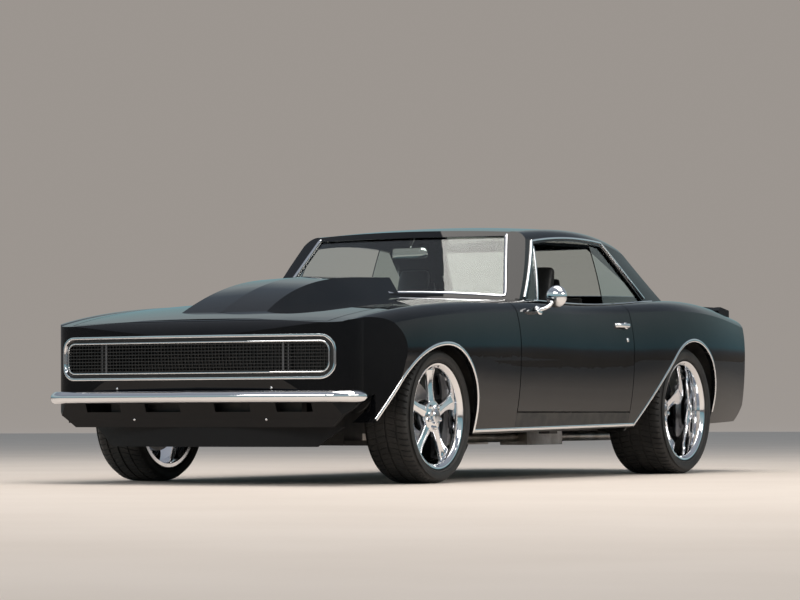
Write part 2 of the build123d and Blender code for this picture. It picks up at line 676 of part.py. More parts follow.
def screen_hole():
    """Opening for the windshield, as a prism along the car."""
    face = outline(
        Line((-540, 1226), (540, 1226)),
        Line((540, 1226), (652, 914)),
        ThreePointArc((652, 914), (0, 941), (-652, 914)),
        Line((-652, 914), (-540, 1226)),
    )
    return front_prism(face, -900, 160)


def backlight_hole():
    """Opening for the rear window, as a prism along the car."""
    face = outline(
        Line((-440, 1216), (440, 1216)),
        Line((440, 1216), (585, 962)),
        ThreePointArc((585, 962), (0, 978), (-585, 962)),
        Line((-585, 962), (-440, 1216)),
    )
    return front_prism(face, 880, 1800)


def side_hole(shrink=0.0):
    """Opening over the door and the quarter panel, as a prism across the car; shrink moves its edge in."""
    s = shrink
    face = outline(
        Line((-262 + s, 800), (-262 + s, 880)),
        Line((-262 + s, 880), (-30 + s, 1186 - s)),
        ThreePointArc((-30 + s, 1186 - s), (330, 1218 - s), (790 - s, 1206 - s)),
        Line((790 - s, 1206 - s), (1170 - s, 930)),
        Line((1170 - s, 930), (1170 - s, 800)),
        Line((1170 - s, 800), (-262 + s, 800)),
    )
    return side_prism(face, FAR) & (block(520, FAR, -900, 1700, 700, 1400) + block(-FAR, -520, -900, 1700, 700, 1400))


BODY_UNDER = OUTER + (Pos(0, 0, GAP) * OUTER & (
    block(COWL_HALF, FAR, -700, DOOR_REAR_Y + GAP, 700, 1200) + block(-FAR, -COWL_HALF, -700, DOOR_REAR_Y + GAP, 700, 1200)
))
SIDE_HOLE = side_hole()


def roof():
    """Roof sheet with its four pillars and the frames of its windows."""
    shape = GREENHOUSE - GREENHOUSE_INSIDE - BODY_UNDER - block(-FAR, FAR, -1000, 2000, 0, 870)
    shape = shape - screen_hole() - backlight_hole() - SIDE_HOLE
    return max(shape.solids(), key=lambda s: s.volume)


def quarter_glass():
    """Fixed panes behind the doors."""
    panes = SIDE_GLASS_BAND & SIDE_HOLE & block(-FAR, FAR, 664, 1700, 0, 1400)
    return panes - BODY_UNDER


def vent_glass():
    """Left vent pane behind the front pillar, with its upright frame."""
    lean = polygon((-300, 860), (-132, 860), (-18, 1186), (-90, 1186))
    pane = SIDE_GLASS_BAND & side_prism(lean, FAR) & side_hole(8) & block(0, FAR, -900, 900, 0, 1400)
    return max((pane - OUTER).solids(), key=lambda s: s.volume)


def quarter():
    """Left quarter panel, from the door to the tail, with its share of the rear spoiler and the lid's gutter."""
    shape = SKIN & block(0, FAR, DOOR_REAR_Y + GAP, TAIL_Y + 50, 100, 1200)
    shape = shape - REAR_OPENING - TRUNK_OPENING
    shape = shape - block(-1, CABIN_HALF, 0, CABIN_REAR_Y + 1, 0, 1200)
    shape = shape - block(-1, TAIL_HALF, TRUNK_REAR_Y - 1, TAIL_Y + 60, 0, 1200)
    shape = shape - block(-1, FAR, REAR_VALANCE_Y, TAIL_Y + 60, 0, VALANCE_TOP_Z)
    return max(shape.solids(), key=lambda s: s.volume)


def gutter():
    """Left channel that the trunk lid's side rests on, hung from the quarter panel's edge."""
    under = lower_body(PANEL + GUTTER)
    y0, y1 = TRUNK_FRONT_Y + 50, TRUNK_REAR_Y - 16
    w0, w1 = trunk_half(y0), trunk_half(y1)
    ledge = plan_prism(polygon((w0 - 30, y0), (w0 + 1, y0), (w1 + 1, y1), (w1 - 30, y1)))
    root = plan_prism(polygon((w0, y0), (w0 + 14, y0), (w1 + 14, y1), (w1, y1)))
    seat = lower_body(PANEL + SEAT_GAP) & ledge
    return (seat + (lower_body(PANEL - 1) & root)) - under


def spoiler_band():
    """Raised lip along the tail's top edge."""
    side = polygon((2080, 800), (2226, 800), (2226, 980), (2196, 980), (2080, 905))
    return (Pos(0, 0, 44) * OUTER & side_prism(side, 900)) - OUTER


def trunk_lid():
    """Trunk lid sheet with the middle of the rear spoiler."""
    sheet = SHEET & LID_ZONE & block(-FAR, FAR, 0, 3000, 600, 1200)
    lid = sheet + (spoiler_band() & LID_ZONE)
    return lid + hinge_ears(TRUNK_FRONT_Y + LID_HINGE_IN, TRUNK_HINGE_Z, TRUNK_HINGE_Z - 38)


def deck_panel():
    """Sheet between the rear window and the trunk lid."""
    zone = strip(CABIN_REAR_Y - 60, TRUNK_FRONT_Y - GAP, trunk_half(CABIN_REAR_Y - 60), trunk_half(TRUNK_FRONT_Y - GAP))
    sheet = SHEET & zone & block(-FAR, FAR, CABIN_REAR_Y, 3000, 600, 1200)
    sheet = sheet - leaning(BACKLIGHT_FOOT, BACKLIGHT_TOP, BACKLIGHT_SWEEP, FRAME_UNDER)
    return sheet + hinge_lugs(TRUNK_FRONT_Y + LID_HINGE_IN, TRUNK_HINGE_Z, -1)


def lamp_prisms():
    """Openings for the tail lamps, as prisms along the car."""
    x0, x1 = TAIL_LAMP_X
    z0, z1 = TAIL_LAMP_Z
    left = block(x0, x1, TAIL_Y - 200, TAIL_Y + 60, z0, z1)
    return left + mirror(left, about=Plane.YZ)


def tail_panel():
    """Upright sheet between the quarter panels, with openings for the lamps and two plate screws."""
    zone = block(-TAIL_HALF, TAIL_HALF, TRUNK_REAR_Y, TAIL_Y + 60, VALANCE_TOP_Z, 1200)
    shape = (SKIN & zone) - lamp_prisms()
    for x in (-PLATE_HOLE_X, PLATE_HOLE_X):
        shape = shape - (Pos(x, TAIL_Y - 40, PLATE_HOLE_Z) * Rot(90, 0, 0) * Cylinder(PLATE_HOLE_R, 160))
    return shape


def tail_lamps():
    """Lamp units in the tail panel."""
    return tail_band(8, 30) & lamp_prisms()


def rear_valance():
    """Sheet under the rear bumper."""
    return SKIN & block(-FAR, FAR, REAR_VALANCE_Y, TAIL_Y + 60, 240, VALANCE_TOP_Z)


def cowl():
    """Cowl top, firewall and hinge pillars with the doors' hinge arms."""
    top = SHEET & block(-COWL_HALF, COWL_HALF, HOOD_REAR_Y + GAP, 100, 600, 1200)
    top = top - leaning(SCREEN_FOOT, SCREEN_TOP, SCREEN_SWEEP, FRAME_UNDER)
    wall = block(-COWL_HALF, COWL_HALF, DOOR_FRONT_Y, DOOR_FRONT_Y + 12, FLOOR_Z, 1200)
    wall = wall - block(-TUNNEL_HALF, TUNNEL_HALF, -900, 0, 0, TUNNEL_Z)
    wall = wall - block(CABIN_HALF - 10, FAR, -900, 0, 0, ROCKER_TOP_Z) - block(-FAR, 10 - CABIN_HALF, -900, 0, 0, ROCKER_TOP_Z)
    pillars = block(640, COWL_HALF, DOOR_FRONT_Y, -500, ROCKER_TOP_Z, 1200)
    fill = SHEET & block(COWL_HALF - 2, DOOR_HINGE_X, DOOR_FRONT_Y, HINGE_Y, 780, 1200)
    fill = fill - (Pos(DOOR_HINGE_X, HINGE_Y, 600) * Cylinder(DOOR_CORNER_R + GAP, 1600))
    shape = top + ((wall + whole_of(pillars)) & INNER) + whole_of(fill)
    shape = shape + hinge_lugs(HOOD_REAR_Y - LID_HINGE_IN, HOOD_HINGE_Z, 1)
    for s in (-1, 1):
        for z in DOOR_HINGE_ZS:
            x0, x1 = sorted((s * (COWL_HALF - 6), s * DOOR_HINGE_X))
            shape = shape + block(x0, x1, HINGE_Y - HINGE_PIN_R, HINGE_Y + HINGE_PIN_R, z - HINGE_ARM / 2, z + HINGE_ARM / 2)
            shape = shape + (Pos(s * DOOR_HINGE_X, HINGE_Y, z) * Cylinder(HINGE_PIN_R, HINGE_ARM + 36))
    return shape


def floor_pan():
    """Floor with its tunnel, sills, kick-up over the axle, trunk floor and rear wheel tubs."""
    t = FLOOR_THICKNESS
    shape = block(-CABIN_HALF, CABIN_HALF, DOOR_FRONT_Y + 12, 1062, FLOOR_Z, FLOOR_Z + t)
    shape = shape + block(-CABIN_HALF, CABIN_HALF, 1046, 1062, FLOOR_Z, 516)
    shape = shape + block(-CABIN_HALF, CABIN_HALF, 1046, 1720, 500, 516)
    shape = shape + block(-CABIN_HALF, CABIN_HALF, 1704, 1720, 430, 516)
    shape = shape + block(-FAR, FAR, 1704, 2190, 430, 446)
    tunnel = TUNNEL_HALF + 14
    shape = shape + block(-tunnel, tunnel, DOOR_FRONT_Y + 12, 1062, FLOOR_Z, TUNNEL_Z + 14)
    shape = shape - block(-TUNNEL_HALF, TUNNEL_HALF, -900, 1070, 0, TUNNEL_Z)
    sill = OUTER & block(-FAR, FAR, DOOR_FRONT_Y - DOOR_GAP, DOOR_REAR_Y + GAP, 0, ROCKER_TOP_Z)
    sill = sill - block(-CABIN_HALF + 10, CABIN_HALF - 10, -2000, 2000, 0, 1000) - REAR_OPENING
    shape = (shape & INNER) + sill
    tub = rear_opening(TUB_CLEARANCE + LINER) - rear_opening(TUB_CLEARANCE)
    side = rear_opening(TUB_CLEARANCE + LINER) & (
        block(REAR_WALL_X, REAR_WALL_X + LINER, 0, 3000, 0, 1000)
        + block(-REAR_WALL_X - LINER, -REAR_WALL_X, 0, 3000, 0, 1000)
    )
    inside = block(REAR_WALL_X, FAR, 0, 3000, FLOOR_Z, 1000) + block(-FAR, -REAR_WALL_X, 0, 3000, FLOOR_Z, 1000)
    axle_slot = block(-FAR, FAR, REAR_AXLE_Y - 70, REAR_AXLE_Y + 70, 0, REAR_TYRE_R + 75)
    hollow = (rear_opening(TUB_CLEARANCE) & inside) + (axle_slot & block(-600, 600, 0, 3000, 0, 499))
    shape = shape - hollow + (((tub + side) & inside & INNER) - axle_slot)
    for x in (-JACK_PAD_X, JACK_PAD_X):
        shape = shape + block(x - 30, x + 30, -45, 45, JACK_PAD_Z, FLOOR_Z + FLOOR_THICKNESS)
    return shape


def inner_fenders():
    """Liners over the front wheels with their inner walls, and the radiator's support between them."""
    tub = front_opening(LINER_CLEARANCE + LINER) - front_opening(LINER_CLEARANCE)
    left = tub & block(FRONT_WALL_X, FAR, NOSE_Y, -1000, 330, 1000)
    wall = front_opening(LINER_CLEARANCE + LINER) & block(FRONT_WALL_X, FRONT_WALL_X + LINER, NOSE_Y, -1000, 330, 1000)
    window = block(FRONT_WALL_X - 5, FRONT_WALL_X + 20, FRONT_AXLE_Y - 140, FRONT_AXLE_Y + 140, 0, 490)
    left = (left + wall - window) & INNER
    support = block(-520, 520, NOSE_Y + 125, NOSE_Y + 170, VALANCE_BOTTOM_Z + 32, 670) & INNER
    return [left, mirror(left, about=Plane.YZ), support]


def front_subframe():
    """Front rails, crossmember and the control arms that carry the knuckles."""
    rails = block(360, FRONT_WALL_X, NOSE_Y + 170, DOOR_FRONT_Y, 232, 330)
    shape = whole_of(rails) + block(-400, 400, FRONT_AXLE_Y - 90, FRONT_AXLE_Y + 90, 176, 256)
    lower = polygon((380, -88), (690, -26), (690, 26), (380, 88))
    upper = polygon((380, -60), (690, -24), (690, 24), (380, 60))
    top_z = KNUCKLE_TOP_Z + SEAT_GAP
    low_z = KNUCKLE_LOW_Z - SEAT_GAP
    left = Pos(0, FRONT_AXLE_Y, low_z - ARM_THICKNESS) * extrude(lower, ARM_THICKNESS)
    left = left + Pos(0, FRONT_AXLE_Y, top_z) * extrude(upper, ARM_THICKNESS)
    left = left + block(380, FRONT_WALL_X - 2, FRONT_AXLE_Y - 60, FRONT_AXLE_Y + 60, 320, top_z + ARM_THICKNESS)
    return shape + whole_of(left)


def knuckle():
    """Left steering knuckle with its stub axle and brake caliper."""
    face = FRONT_HUB_X - SEAT_GAP
    y, z = FRONT_AXLE_Y, FRONT_TYRE_R
    shape = tube((KINGPIN_X, y, KNUCKLE_LOW_Z), (KINGPIN_X, y, KNUCKLE_TOP_Z), 24)
    shape = shape + tube((660, y, z), (face, y, z), 62)
    shape = shape + tube((face - 1, y, z), (face + STUB_LENGTH, y, z), STUB_R)
    x0 = FRONT_HUB_X + 2
    caliper = block(672, x0 + DISC_THICKNESS + 20, y + 104, y + 186, z - 62, z + 62)
    slot = block(x0 - 4, x0 + DISC_THICKNESS + 4, y, y + DISC_R + 7, z - 90, z + 90)
    arm = block(664, x0 - 6, y, y + 120, z - 30, z + 30)
    return shape + (caliper - slot) + arm


def rim(radius, width, hub_x, wheel_x, spoke_depth, is_front):
    """Wheel about the X axis, outside toward +X: barrel with lips, tapered spokes, hub and brake."""
    half = width / 2 - RIM_SHORT
    seat = radius - RIM_LIP
    bore = seat - RIM_WALL
    lip = half - RIM_LIP_WIDTH
    barrel = Plane.XY * polygon(
        (-half, radius), (-half, bore), (half, bore), (half, radius),
        (lip, radius), (lip, seat), (-lip, seat), (-lip, radius)
    )
    shape = revolve(barrel, Axis.X, 360)
    outer = half - spoke_depth
    hub_back = hub_x - wheel_x
    hub = tube((hub_back, 0, 0), (outer, 0, 0), HUB_R)
    cap = tube((outer, 0, 0), (outer + HUB_CAP_LENGTH, 0, 0), HUB_CAP_R)
    spoke = side_plane(outer - SPOKE_THICKNESS) * polygon(
        (-SPOKE_HALF_HUB, 0), (SPOKE_HALF_HUB, 0), (SPOKE_HALF_RIM, bore + 2), (-SPOKE_HALF_RIM, bore + 2)
    )
    bar = extrude(spoke, SPOKE_THICKNESS)
    for i in range(SPOKES):
        shape = shape + Rot(360 / SPOKES * i, 0, 0) * bar
    shape = shape + hub + cap
    if is_front:
        shape = shape + tube((hub_back + 2, 0, 0), (hub_back + 2 + DISC_THICKNESS, 0, 0), DISC_R)
    else:
        shape = shape + tube((hub_back, 0, 0), (hub_back + DRUM_LENGTH, 0, 0), DRUM_R)
    return shape - tube((hub_back - 1, 0, 0), (hub_back + STUB_LENGTH + 4, 0, 0), STUB_R + STUB_CLEARANCE)


def tyre(radius, width, rim_radius):
    """Tyre about the X axis, seated on the rim between its lips."""
    half = width / 2
    seat = rim_radius - RIM_LIP + SEAT_GAP
    lip = half - RIM_SHORT - RIM_LIP_WIDTH - SEAT_GAP
    shoulder = half - 26
    edges = [Line((-lip, seat), (lip, seat)), Line((lip, seat), (lip, rim_radius + 3))]
    edges.append(ThreePointArc((lip, rim_radius + 3), (half, (radius + rim_radius) / 2), (half - 10, radius - 24)))
    edges.append(Line((half - 10, radius - 24), (shoulder, radius - 4)))
    edges.append(Line((shoulder, radius - 4), (shoulder - 22, radius)))
    edges.append(Line((shoulder - 22, radius), (22 - shoulder, radius)))
    edges.append(Line((22 - shoulder, radius), (-shoulder, radius - 4)))
    edges.append(Line((-shoulder, radius - 4), (10 - half, radius - 24)))
    edges.append(ThreePointArc((10 - half, radius - 24), (-half, (radius + rim_radius) / 2), (-lip, rim_radius + 3)))
    edges.append(Line((-lip, rim_radius + 3), (-lip, seat)))
    return revolve(outline(*edges), Axis.X, 360)


def axle_housing():
    """Axle tubes, differential, end flanges and stub axles, turned about one line."""
    face = REAR_HUB_X - SEAT_GAP
    bulge = 118.0
    profile = outline(
        ThreePointArc((0, bulge), (70, 95), (112, 40)),
        Line((112, 40), (face - 14, 40)),
        Line((face - 14, 40), (face - 14, 70)),
        Line((face - 14, 70), (face, 70)),
        Line((face, 70), (face, STUB_R)),
        Line((face, STUB_R), (face + STUB_LENGTH, STUB_R)),
        Line((face + STUB_LENGTH, STUB_R), (face + STUB_LENGTH, 0)),
        Line((face + STUB_LENGTH, 0), (0, 0)),
        Line((0, 0), (0, bulge)),
    )
    half = revolve(profile, Axis.X, 360)
    return Pos(0, REAR_AXLE_Y, REAR_TYRE_R) * whole_of(half)


def rear_axle():
    """Live axle on two leaf springs."""
    z, y = REAR_TYRE_R, REAR_AXLE_Y
    spring = polygon((1062, 306), (y, z - 62), (1900, 404), (1900, 430), (y, z - 38), (1062, 332))
    shape = axle_housing()
    for s in (-1, 1):
        shape = shape + Pos(s * 490, 0, 0) * side_prism(spring, 32)
    return shape


def driveshaft():
    """Propeller shaft from the gearbox to the axle."""
    z = REAR_TYRE_R
    shaft = tube((0, -262, 310), (0, REAR_AXLE_Y - 60, z), 36) - axle_housing()
    return shaft - block(-200, 200, -400, -250, 0, 600)


def engine():
    """Engine and gearbox as one plain mass on the crossmember."""
    y = FRONT_AXLE_Y
    shape = block(-240, 240, y - 380, y + 330, 330, 760) + block(-120, 120, y - 380, y + 330, 256, 340)
    gearbox = loft([
        cross_plane(y + 320) * Pos(0, 340) * Rectangle(320, 150),
        cross_plane(-700) * Pos(0, 340) * Rectangle(220, 130),
        cross_plane(-250) * Pos(0, 320) * Rectangle(140, 110),
    ], ruled=True)
    return shape + gearbox


def exhaust():
    """Two pipes with mufflers, hung under the floor."""
    z, x, r = 204.0, 225.0, 28.0
    left = tube((x, -1060, z), (x, 2240, z), r) + block(x - r, x + r, -1090, -1034, z - 20, 330)
    left = left + block(x - 80, x + 80, 590, 1010, 160, FLOOR_Z)
    return both_sides(left)


def fuel_tank():
    """Flat tank under the trunk floor."""
    tank = block(-190, 190, 1780, 2090, 250, 430)
    return fillet(tank.edges().filter_by(Axis.Z), 30)


def seat(x):
    """High-backed bucket seat with side bolsters."""
    side = polygon(
        (-90, 296), (-110, 430), (-60, 448), (350, 420), (570, 1120), (640, 1130), (660, 1110), (500, 470), (470, 296)
    )
    half = SEAT_HALF
    shape = side_prism(side, half)
    front = polygon(
        (-half, 252), (half, 252), (half, 700), (half - 5, 860), (120, 960), (105, 1135),
        (-105, 1135), (-120, 960), (5 - half, 860), (-half, 700)
    )
    shape = shape & front_prism(front, -300, 900)
    hollow = side_prism(polygon((-50, 400), (330, 372), (555, 1090), (300, 1100), (-50, 800)), half - 65)
    hollow = hollow & block(-half, half, -300, 900, 405, 900)
    base = block(-180, 180, -40, 420, FLOOR_Z + FLOOR_THICKNESS, 297)
    return Pos(x, 0, 0) * (shape - hollow + base)


def rear_seat():
    """Bench over the kick-up."""
    side = polygon(
        (800, 252), (790, 450), (830, 512), (1130, 556), (1210, 900), (1290, 905), (1236, 516), (1046, 516), (1046, 252)
    )
    return side_prism(side, 535) - block(-165, 165, 700, 1100, 0, 440)


def harness_bar():
    """Cross tube behind the front seats on two legs."""
    y, z, r = 745.0, 915.0, 24.0
    shape = tube((-545, y, z), (545, y, z), r)
    for s in (-1, 1):
        shape = shape + tube((s * 470, y, FLOOR_Z + FLOOR_THICKNESS), (s * 470, y, z), 20)
    return shape


def dashboard():
    """Dash with the steering column."""
    side = outline(
        Line((-520, 700), (-470, 640)), Line((-470, 640), (-330, 650)), Line((-330, 650), (-250, 700)),
        Line((-250, 700), (-262, 850)), ThreePointArc((-262, 850), (-290, 880), (-340, 886)),
        Line((-340, 886), (-420, 878)), Line((-420, 878), (-520, 860)), Line((-520, 860), (-520, 700)),
    )
    slope = math.radians(COLUMN_SLOPE)
    length = 230.0
    start = (COLUMN_X, COLUMN_TOP_Y - length * math.cos(slope), COLUMN_TOP_Z - length * math.sin(slope))
    column = tube(start, (COLUMN_X, COLUMN_TOP_Y, COLUMN_TOP_Z), 30)
    return (side_prism(side, 640) & INNER) + column


def steering_wheel():
    """Three-spoke wheel at the column's end, built level and then leaned."""
    hub = Pos(0, 0, 20 + SEAT_GAP) * Cylinder(38, 40)
    shape = hub + Pos(0, 0, 40) * Torus(STEERING_WHEEL_R, STEERING_GRIP_R)
    for i in range(3):
        spoke = Pos(STEERING_WHEEL_R / 2, 0, 34) * Box(STEERING_WHEEL_R, 26, 8)
        shape = shape + Rot(0, 0, -90 + 120 * i) * spoke
    top = Plane(
        origin=(COLUMN_X, COLUMN_TOP_Y, COLUMN_TOP_Z), x_dir=(1, 0, 0),
        z_dir=(0, math.cos(math.radians(COLUMN_SLOPE)), math.sin(math.radians(COLUMN_SLOPE)))
    )
    return top * shape


def mirror_left():
    """Round door mirror on its arm."""
    centre = Vector(930, -320, 905)
    head = Pos(*centre) * Rot(90, 0, 0) * (Cylinder(56, 22) + Pos(0, 0, 11) * Cylinder(40, 22))
    arm = tube((800, -440, 800), (centre.X - 10, centre.Y - 18, centre.Z - 30), 11)
    return head + (arm - OUTER)


def placed(shape, x, y, z):
    """Left wheel piece moved to its axle, and the same turned round for the right side."""
    return Pos(x, y, z) * shape, Pos(-x, y, z) * mirror(shape, about=Plane.YZ)


left_fender = fender()
export("fender_l", left_fender)
export("fender_r", mirror(left_fender, about=Plane.YZ))
export("nose_panel", nose_panel())
export("front_valance", valance())
export("chin_spoiler", chin_spoiler())
export("grille", grille())
export("grille_frame", grille_frame())
export("front_bumper", front_bumper())
export("hood", hood())
left_door = door()
export("door_l", left_door)
export("door_r", mirror(left_door, about=Plane.YZ))
left_vent = vent_glass()
export("vent_glass_l", left_vent)
export("vent_glass_r", mirror(left_vent, about=Plane.YZ))
left_mirror = mirror_left()
export("mirror_l", left_mirror)
export("mirror_r", mirror(left_mirror, about=Plane.YZ))
export("roof", roof())
export("windshield", GLASS_BAND & screen_hole())
export("rear_window", GLASS_BAND & backlight_hole())
export("quarter_glass", quarter_glass())
end_cap = spoiler_band() & block(0, 760, 2000, TAIL_Y + 60, 0, 1200)
end_cap = end_cap - strip(1900, TAIL_Y + 60, trunk_half(1900), trunk_half(TAIL_Y + 60))
left_quarter = quarter() + end_cap + gutter()
export("quarter_l", left_quarter)
export("quarter_r", mirror(left_quarter, about=Plane.YZ))
export("trunk_lid", trunk_lid())
export("deck_panel", deck_panel())
export("tail_panel", tail_panel())
export("tail_lamps", tail_lamps())
export("rear_valance", rear_valance())
export("rear_bumper", rear_bumper())
export("cowl", cowl())
export("floor_pan", floor_pan())
export("inner_fenders", *inner_fenders())
export("front_subframe", front_subframe())
export("engine", engine())
export("rear_axle", rear_axle())
export("driveshaft", driveshaft())
export("exhaust", *exhaust())
export("fuel_tank", fuel_tank())
export("dashboard", dashboard())
export("steering_wheel", steering_wheel())
export("front_seats", seat(COLUMN_X), seat(-COLUMN_X))
export("rear_seat", rear_seat())
export("harness_bar", harness_bar())
export("package_shelf", block(-CABIN_HALF, CABIN_HALF, 1292, 1385, 914, 926) & INNER)
left_knuckle = knuckle()
export("knuckle_l", left_knuckle)
export("knuckle_r", mirror(left_knuckle, about=Plane.YZ))

AXLES = (
    # name, tyre radius, tyre width, rim radius, hub face x, wheel x, spoke depth, y
    ("f", FRONT_TYRE_R, FRONT_TYRE_W, FRONT_RIM_R, FRONT_HUB_X, FRONT_TYRE_X, FRONT_SPOKE_DEPTH, FRONT_AXLE_Y),
    ("r", REAR_TYRE_R, REAR_TYRE_W, REAR_RIM_R, REAR_HUB_X, REAR_TYRE_X, REAR_SPOKE_DEPTH, REAR_AXLE_Y),
)
for axle, radius, width, rim_radius, hub_x, wheel_x, depth, y in AXLES:
    rims = placed(rim(rim_radius, width, hub_x, wheel_x, depth, axle == "f"), wheel_x, y, radius)
    tyres = placed(tyre(radius, width, rim_radius), wheel_x, y, radius)
    for side, one_rim, one_tyre in zip("lr", rims, tyres):
        export(f"wheel_{axle}{side}", one_rim)
        export(f"tyre_{axle}{side}", one_tyre)
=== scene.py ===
import math

import bmesh
import bpy
import numpy as np
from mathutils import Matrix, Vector
from mathutils.bvhtree import BVHTree


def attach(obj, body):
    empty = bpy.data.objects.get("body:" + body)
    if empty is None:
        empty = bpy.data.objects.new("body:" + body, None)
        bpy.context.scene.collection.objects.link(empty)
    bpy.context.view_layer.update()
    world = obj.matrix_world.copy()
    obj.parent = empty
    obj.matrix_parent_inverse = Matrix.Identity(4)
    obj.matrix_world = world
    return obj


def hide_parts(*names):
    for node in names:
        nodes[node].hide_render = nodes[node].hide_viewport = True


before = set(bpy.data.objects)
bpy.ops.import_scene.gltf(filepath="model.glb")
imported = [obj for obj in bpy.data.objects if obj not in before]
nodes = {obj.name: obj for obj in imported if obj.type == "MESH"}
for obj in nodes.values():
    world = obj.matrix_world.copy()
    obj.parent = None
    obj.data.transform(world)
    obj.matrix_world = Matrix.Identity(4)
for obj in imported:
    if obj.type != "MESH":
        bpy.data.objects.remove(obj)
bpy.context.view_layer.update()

# Camera, floor and light.
# The photograph is a long-lens view of the left front from bumper height.
# The floor rolls up into a pale wall, and big soft panels light the car.
MIDDLE_Y = 0.042  # the drawing's zero line lies this far from the middle of the car
EYE = (7.981, -14.527 - MIDDLE_Y, 0.316)
CAMERA_TURN = (90.0, 0.12, 29.19)
LENS_MM = 144.0
LENS_RISE = 0.1447
FILM_MM = 36.0
SIGHT = 200.0
camera = bpy.data.objects.new("camera", bpy.data.cameras.new("camera"))
bpy.context.scene.collection.objects.link(camera)
camera.location = EYE
camera.rotation_euler = [math.radians(angle) for angle in CAMERA_TURN]
camera.data.lens = LENS_MM
camera.data.sensor_width = FILM_MM
camera.data.shift_y = LENS_RISE
camera.data.clip_end = SIGHT
bpy.context.scene.camera = camera


def node_material(name, colour, metallic=0.0, roughness=0.5, **sockets):
    """Principled material; other sockets are set straight on the shader."""
    material = bpy.data.materials.new(name)
    material.use_nodes = True
    shader = material.node_tree.nodes["Principled BSDF"]
    shader.inputs["Base Color"].default_value = (*colour, 1)
    shader.inputs["Metallic"].default_value = metallic
    shader.inputs["Roughness"].default_value = roughness
    for socket, value in sockets.items():
        shader.inputs[socket.replace("_", " ")].default_value = value
    material.diffuse_color = (*colour, 1)
    return material


def texture(material, kind, scale, **values):
    """Procedural texture on object coordinates, in metres."""
    tree = material.node_tree
    place = tree.nodes.new("ShaderNodeTexCoord")
    node = tree.nodes.new(kind)
    tree.links.new(place.outputs["Object"], node.inputs["Vector"])
    node.inputs["Scale"].default_value = scale
    for socket, value in values.items():
        node.inputs[socket].default_value = value
    return node


def vary_colour(material, scale, dark, light, low=0.35, high=0.65):
    """Base colour that drifts between two tones."""
    tree = material.node_tree
    noise = texture(material, "ShaderNodeTexNoise", scale, Detail=8.0)
    ramp = tree.nodes.new("ShaderNodeValToRGB")
    for stop, at, colour in zip(ramp.color_ramp.elements, (low, high), (dark, light)):
        stop.position = at
        stop.color = (*colour, 1)
    tree.links.new(noise.outputs["Fac"], ramp.inputs["Fac"])
    tree.links.new(ramp.outputs["Color"], tree.nodes["Principled BSDF"].inputs["Base Color"])


def mesh_object(name, points, faces, material):
    """New smooth-shaded mesh piece."""
    mesh = bpy.data.meshes.new(name)
    mesh.from_pydata([tuple(p) for p in points], [], [tuple(f) for f in faces])
    mesh.validate()
    mesh.update()
    mesh.shade_smooth()
    piece = bpy.data.objects.new(name, mesh)
    bpy.context.scene.collection.objects.link(piece)
    mesh.materials.append(material)
    return piece


def full_turn(count):
    """Evenly spaced angles of one turn."""
    return [2 * math.pi * i / count for i in range(count)]


def skin(rings, n, closed=False, caps=True):
    """Faces over successive rings of n points, capped at the ends unless the run is closed."""
    faces = []
    for i in range(rings if closed else rings - 1):
        here, ahead = i * n, (i + 1) % rings * n
        faces += [(here + k, here + (k + 1) % n, ahead + (k + 1) % n, ahead + k) for k in range(n)]
    if caps and not closed:
        faces += [tuple(range(n)), tuple(range((rings - 1) * n, rings * n))]
    return faces


FLOOR_HOLE = 0.01
FLOOR_R = 44.0
SWEEP_R = 3.0
SWEEP_STEPS = 12
WALL_TOP = 40.0
ROUND_STEPS = 96
profile = [(FLOOR_HOLE, 0.0), (FLOOR_R, 0.0)]
for i in range(1, SWEEP_STEPS + 1):
    turn = math.radians(90 * i / SWEEP_STEPS)
    profile.append((FLOOR_R + SWEEP_R * math.sin(turn), SWEEP_R * (1 - math.cos(turn))))
profile.append((FLOOR_R + SWEEP_R, WALL_TOP))
points = [(r * math.cos(turn), r * math.sin(turn), z) for r, z in profile for turn in full_turn(ROUND_STEPS)]
faces = skin(len(profile), ROUND_STEPS, caps=False)
floor_paint = node_material("floor_paint", (0.70, 0.63, 0.57), roughness=0.9)
vary_colour(floor_paint, 0.9, (0.67, 0.59, 0.52), (0.71, 0.63, 0.56))
wall_paint = node_material(
    "wall_paint", (0.02, 0.02, 0.02), roughness=0.9, Emission_Color=(0.32, 0.29, 0.265, 1),
    Emission_Strength=1.0
)
floor = mesh_object("floor", points, faces[:ROUND_STEPS], floor_paint)
wall = mesh_object("wall", points, faces[ROUND_STEPS:], wall_paint)
wall.visible_glossy = False
wall.visible_diffuse = False
wall.visible_shadow = False

SKY_STOPS = (
    # height of the ray, colour
    (0.0, (0.17, 0.15, 0.13)), (0.035, (0.17, 0.18, 0.19)), (0.06, (0.18, 0.33, 0.38)),
    (0.17, (0.28, 0.40, 0.42)), (0.32, (0.44, 0.50, 0.52)), (0.46, (0.20, 0.24, 0.29)),
    (1.0, (0.36, 0.37, 0.41)),
)
world = bpy.data.worlds.new("studio")
bpy.context.scene.world = world
world.use_nodes = True
sky = world.node_tree
ray = sky.nodes.new("ShaderNodeTexCoord")
split = sky.nodes.new("ShaderNodeSeparateXYZ")
ramp = sky.nodes.new("ShaderNodeValToRGB")
for i, (at, colour) in enumerate(SKY_STOPS):
    stop = ramp.color_ramp.elements[i] if i < 2 else ramp.color_ramp.elements.new(at)
    stop.position = at
    stop.color = (*colour, 1)
sky.links.new(ray.outputs["Generated"], split.inputs["Vector"])
sky.links.new(split.outputs["Z"], ramp.inputs["Fac"])
sky.links.new(ramp.outputs["Color"], sky.nodes["Background"].inputs["Color"])
sky.nodes["Background"].inputs["Strength"].default_value = 1.0

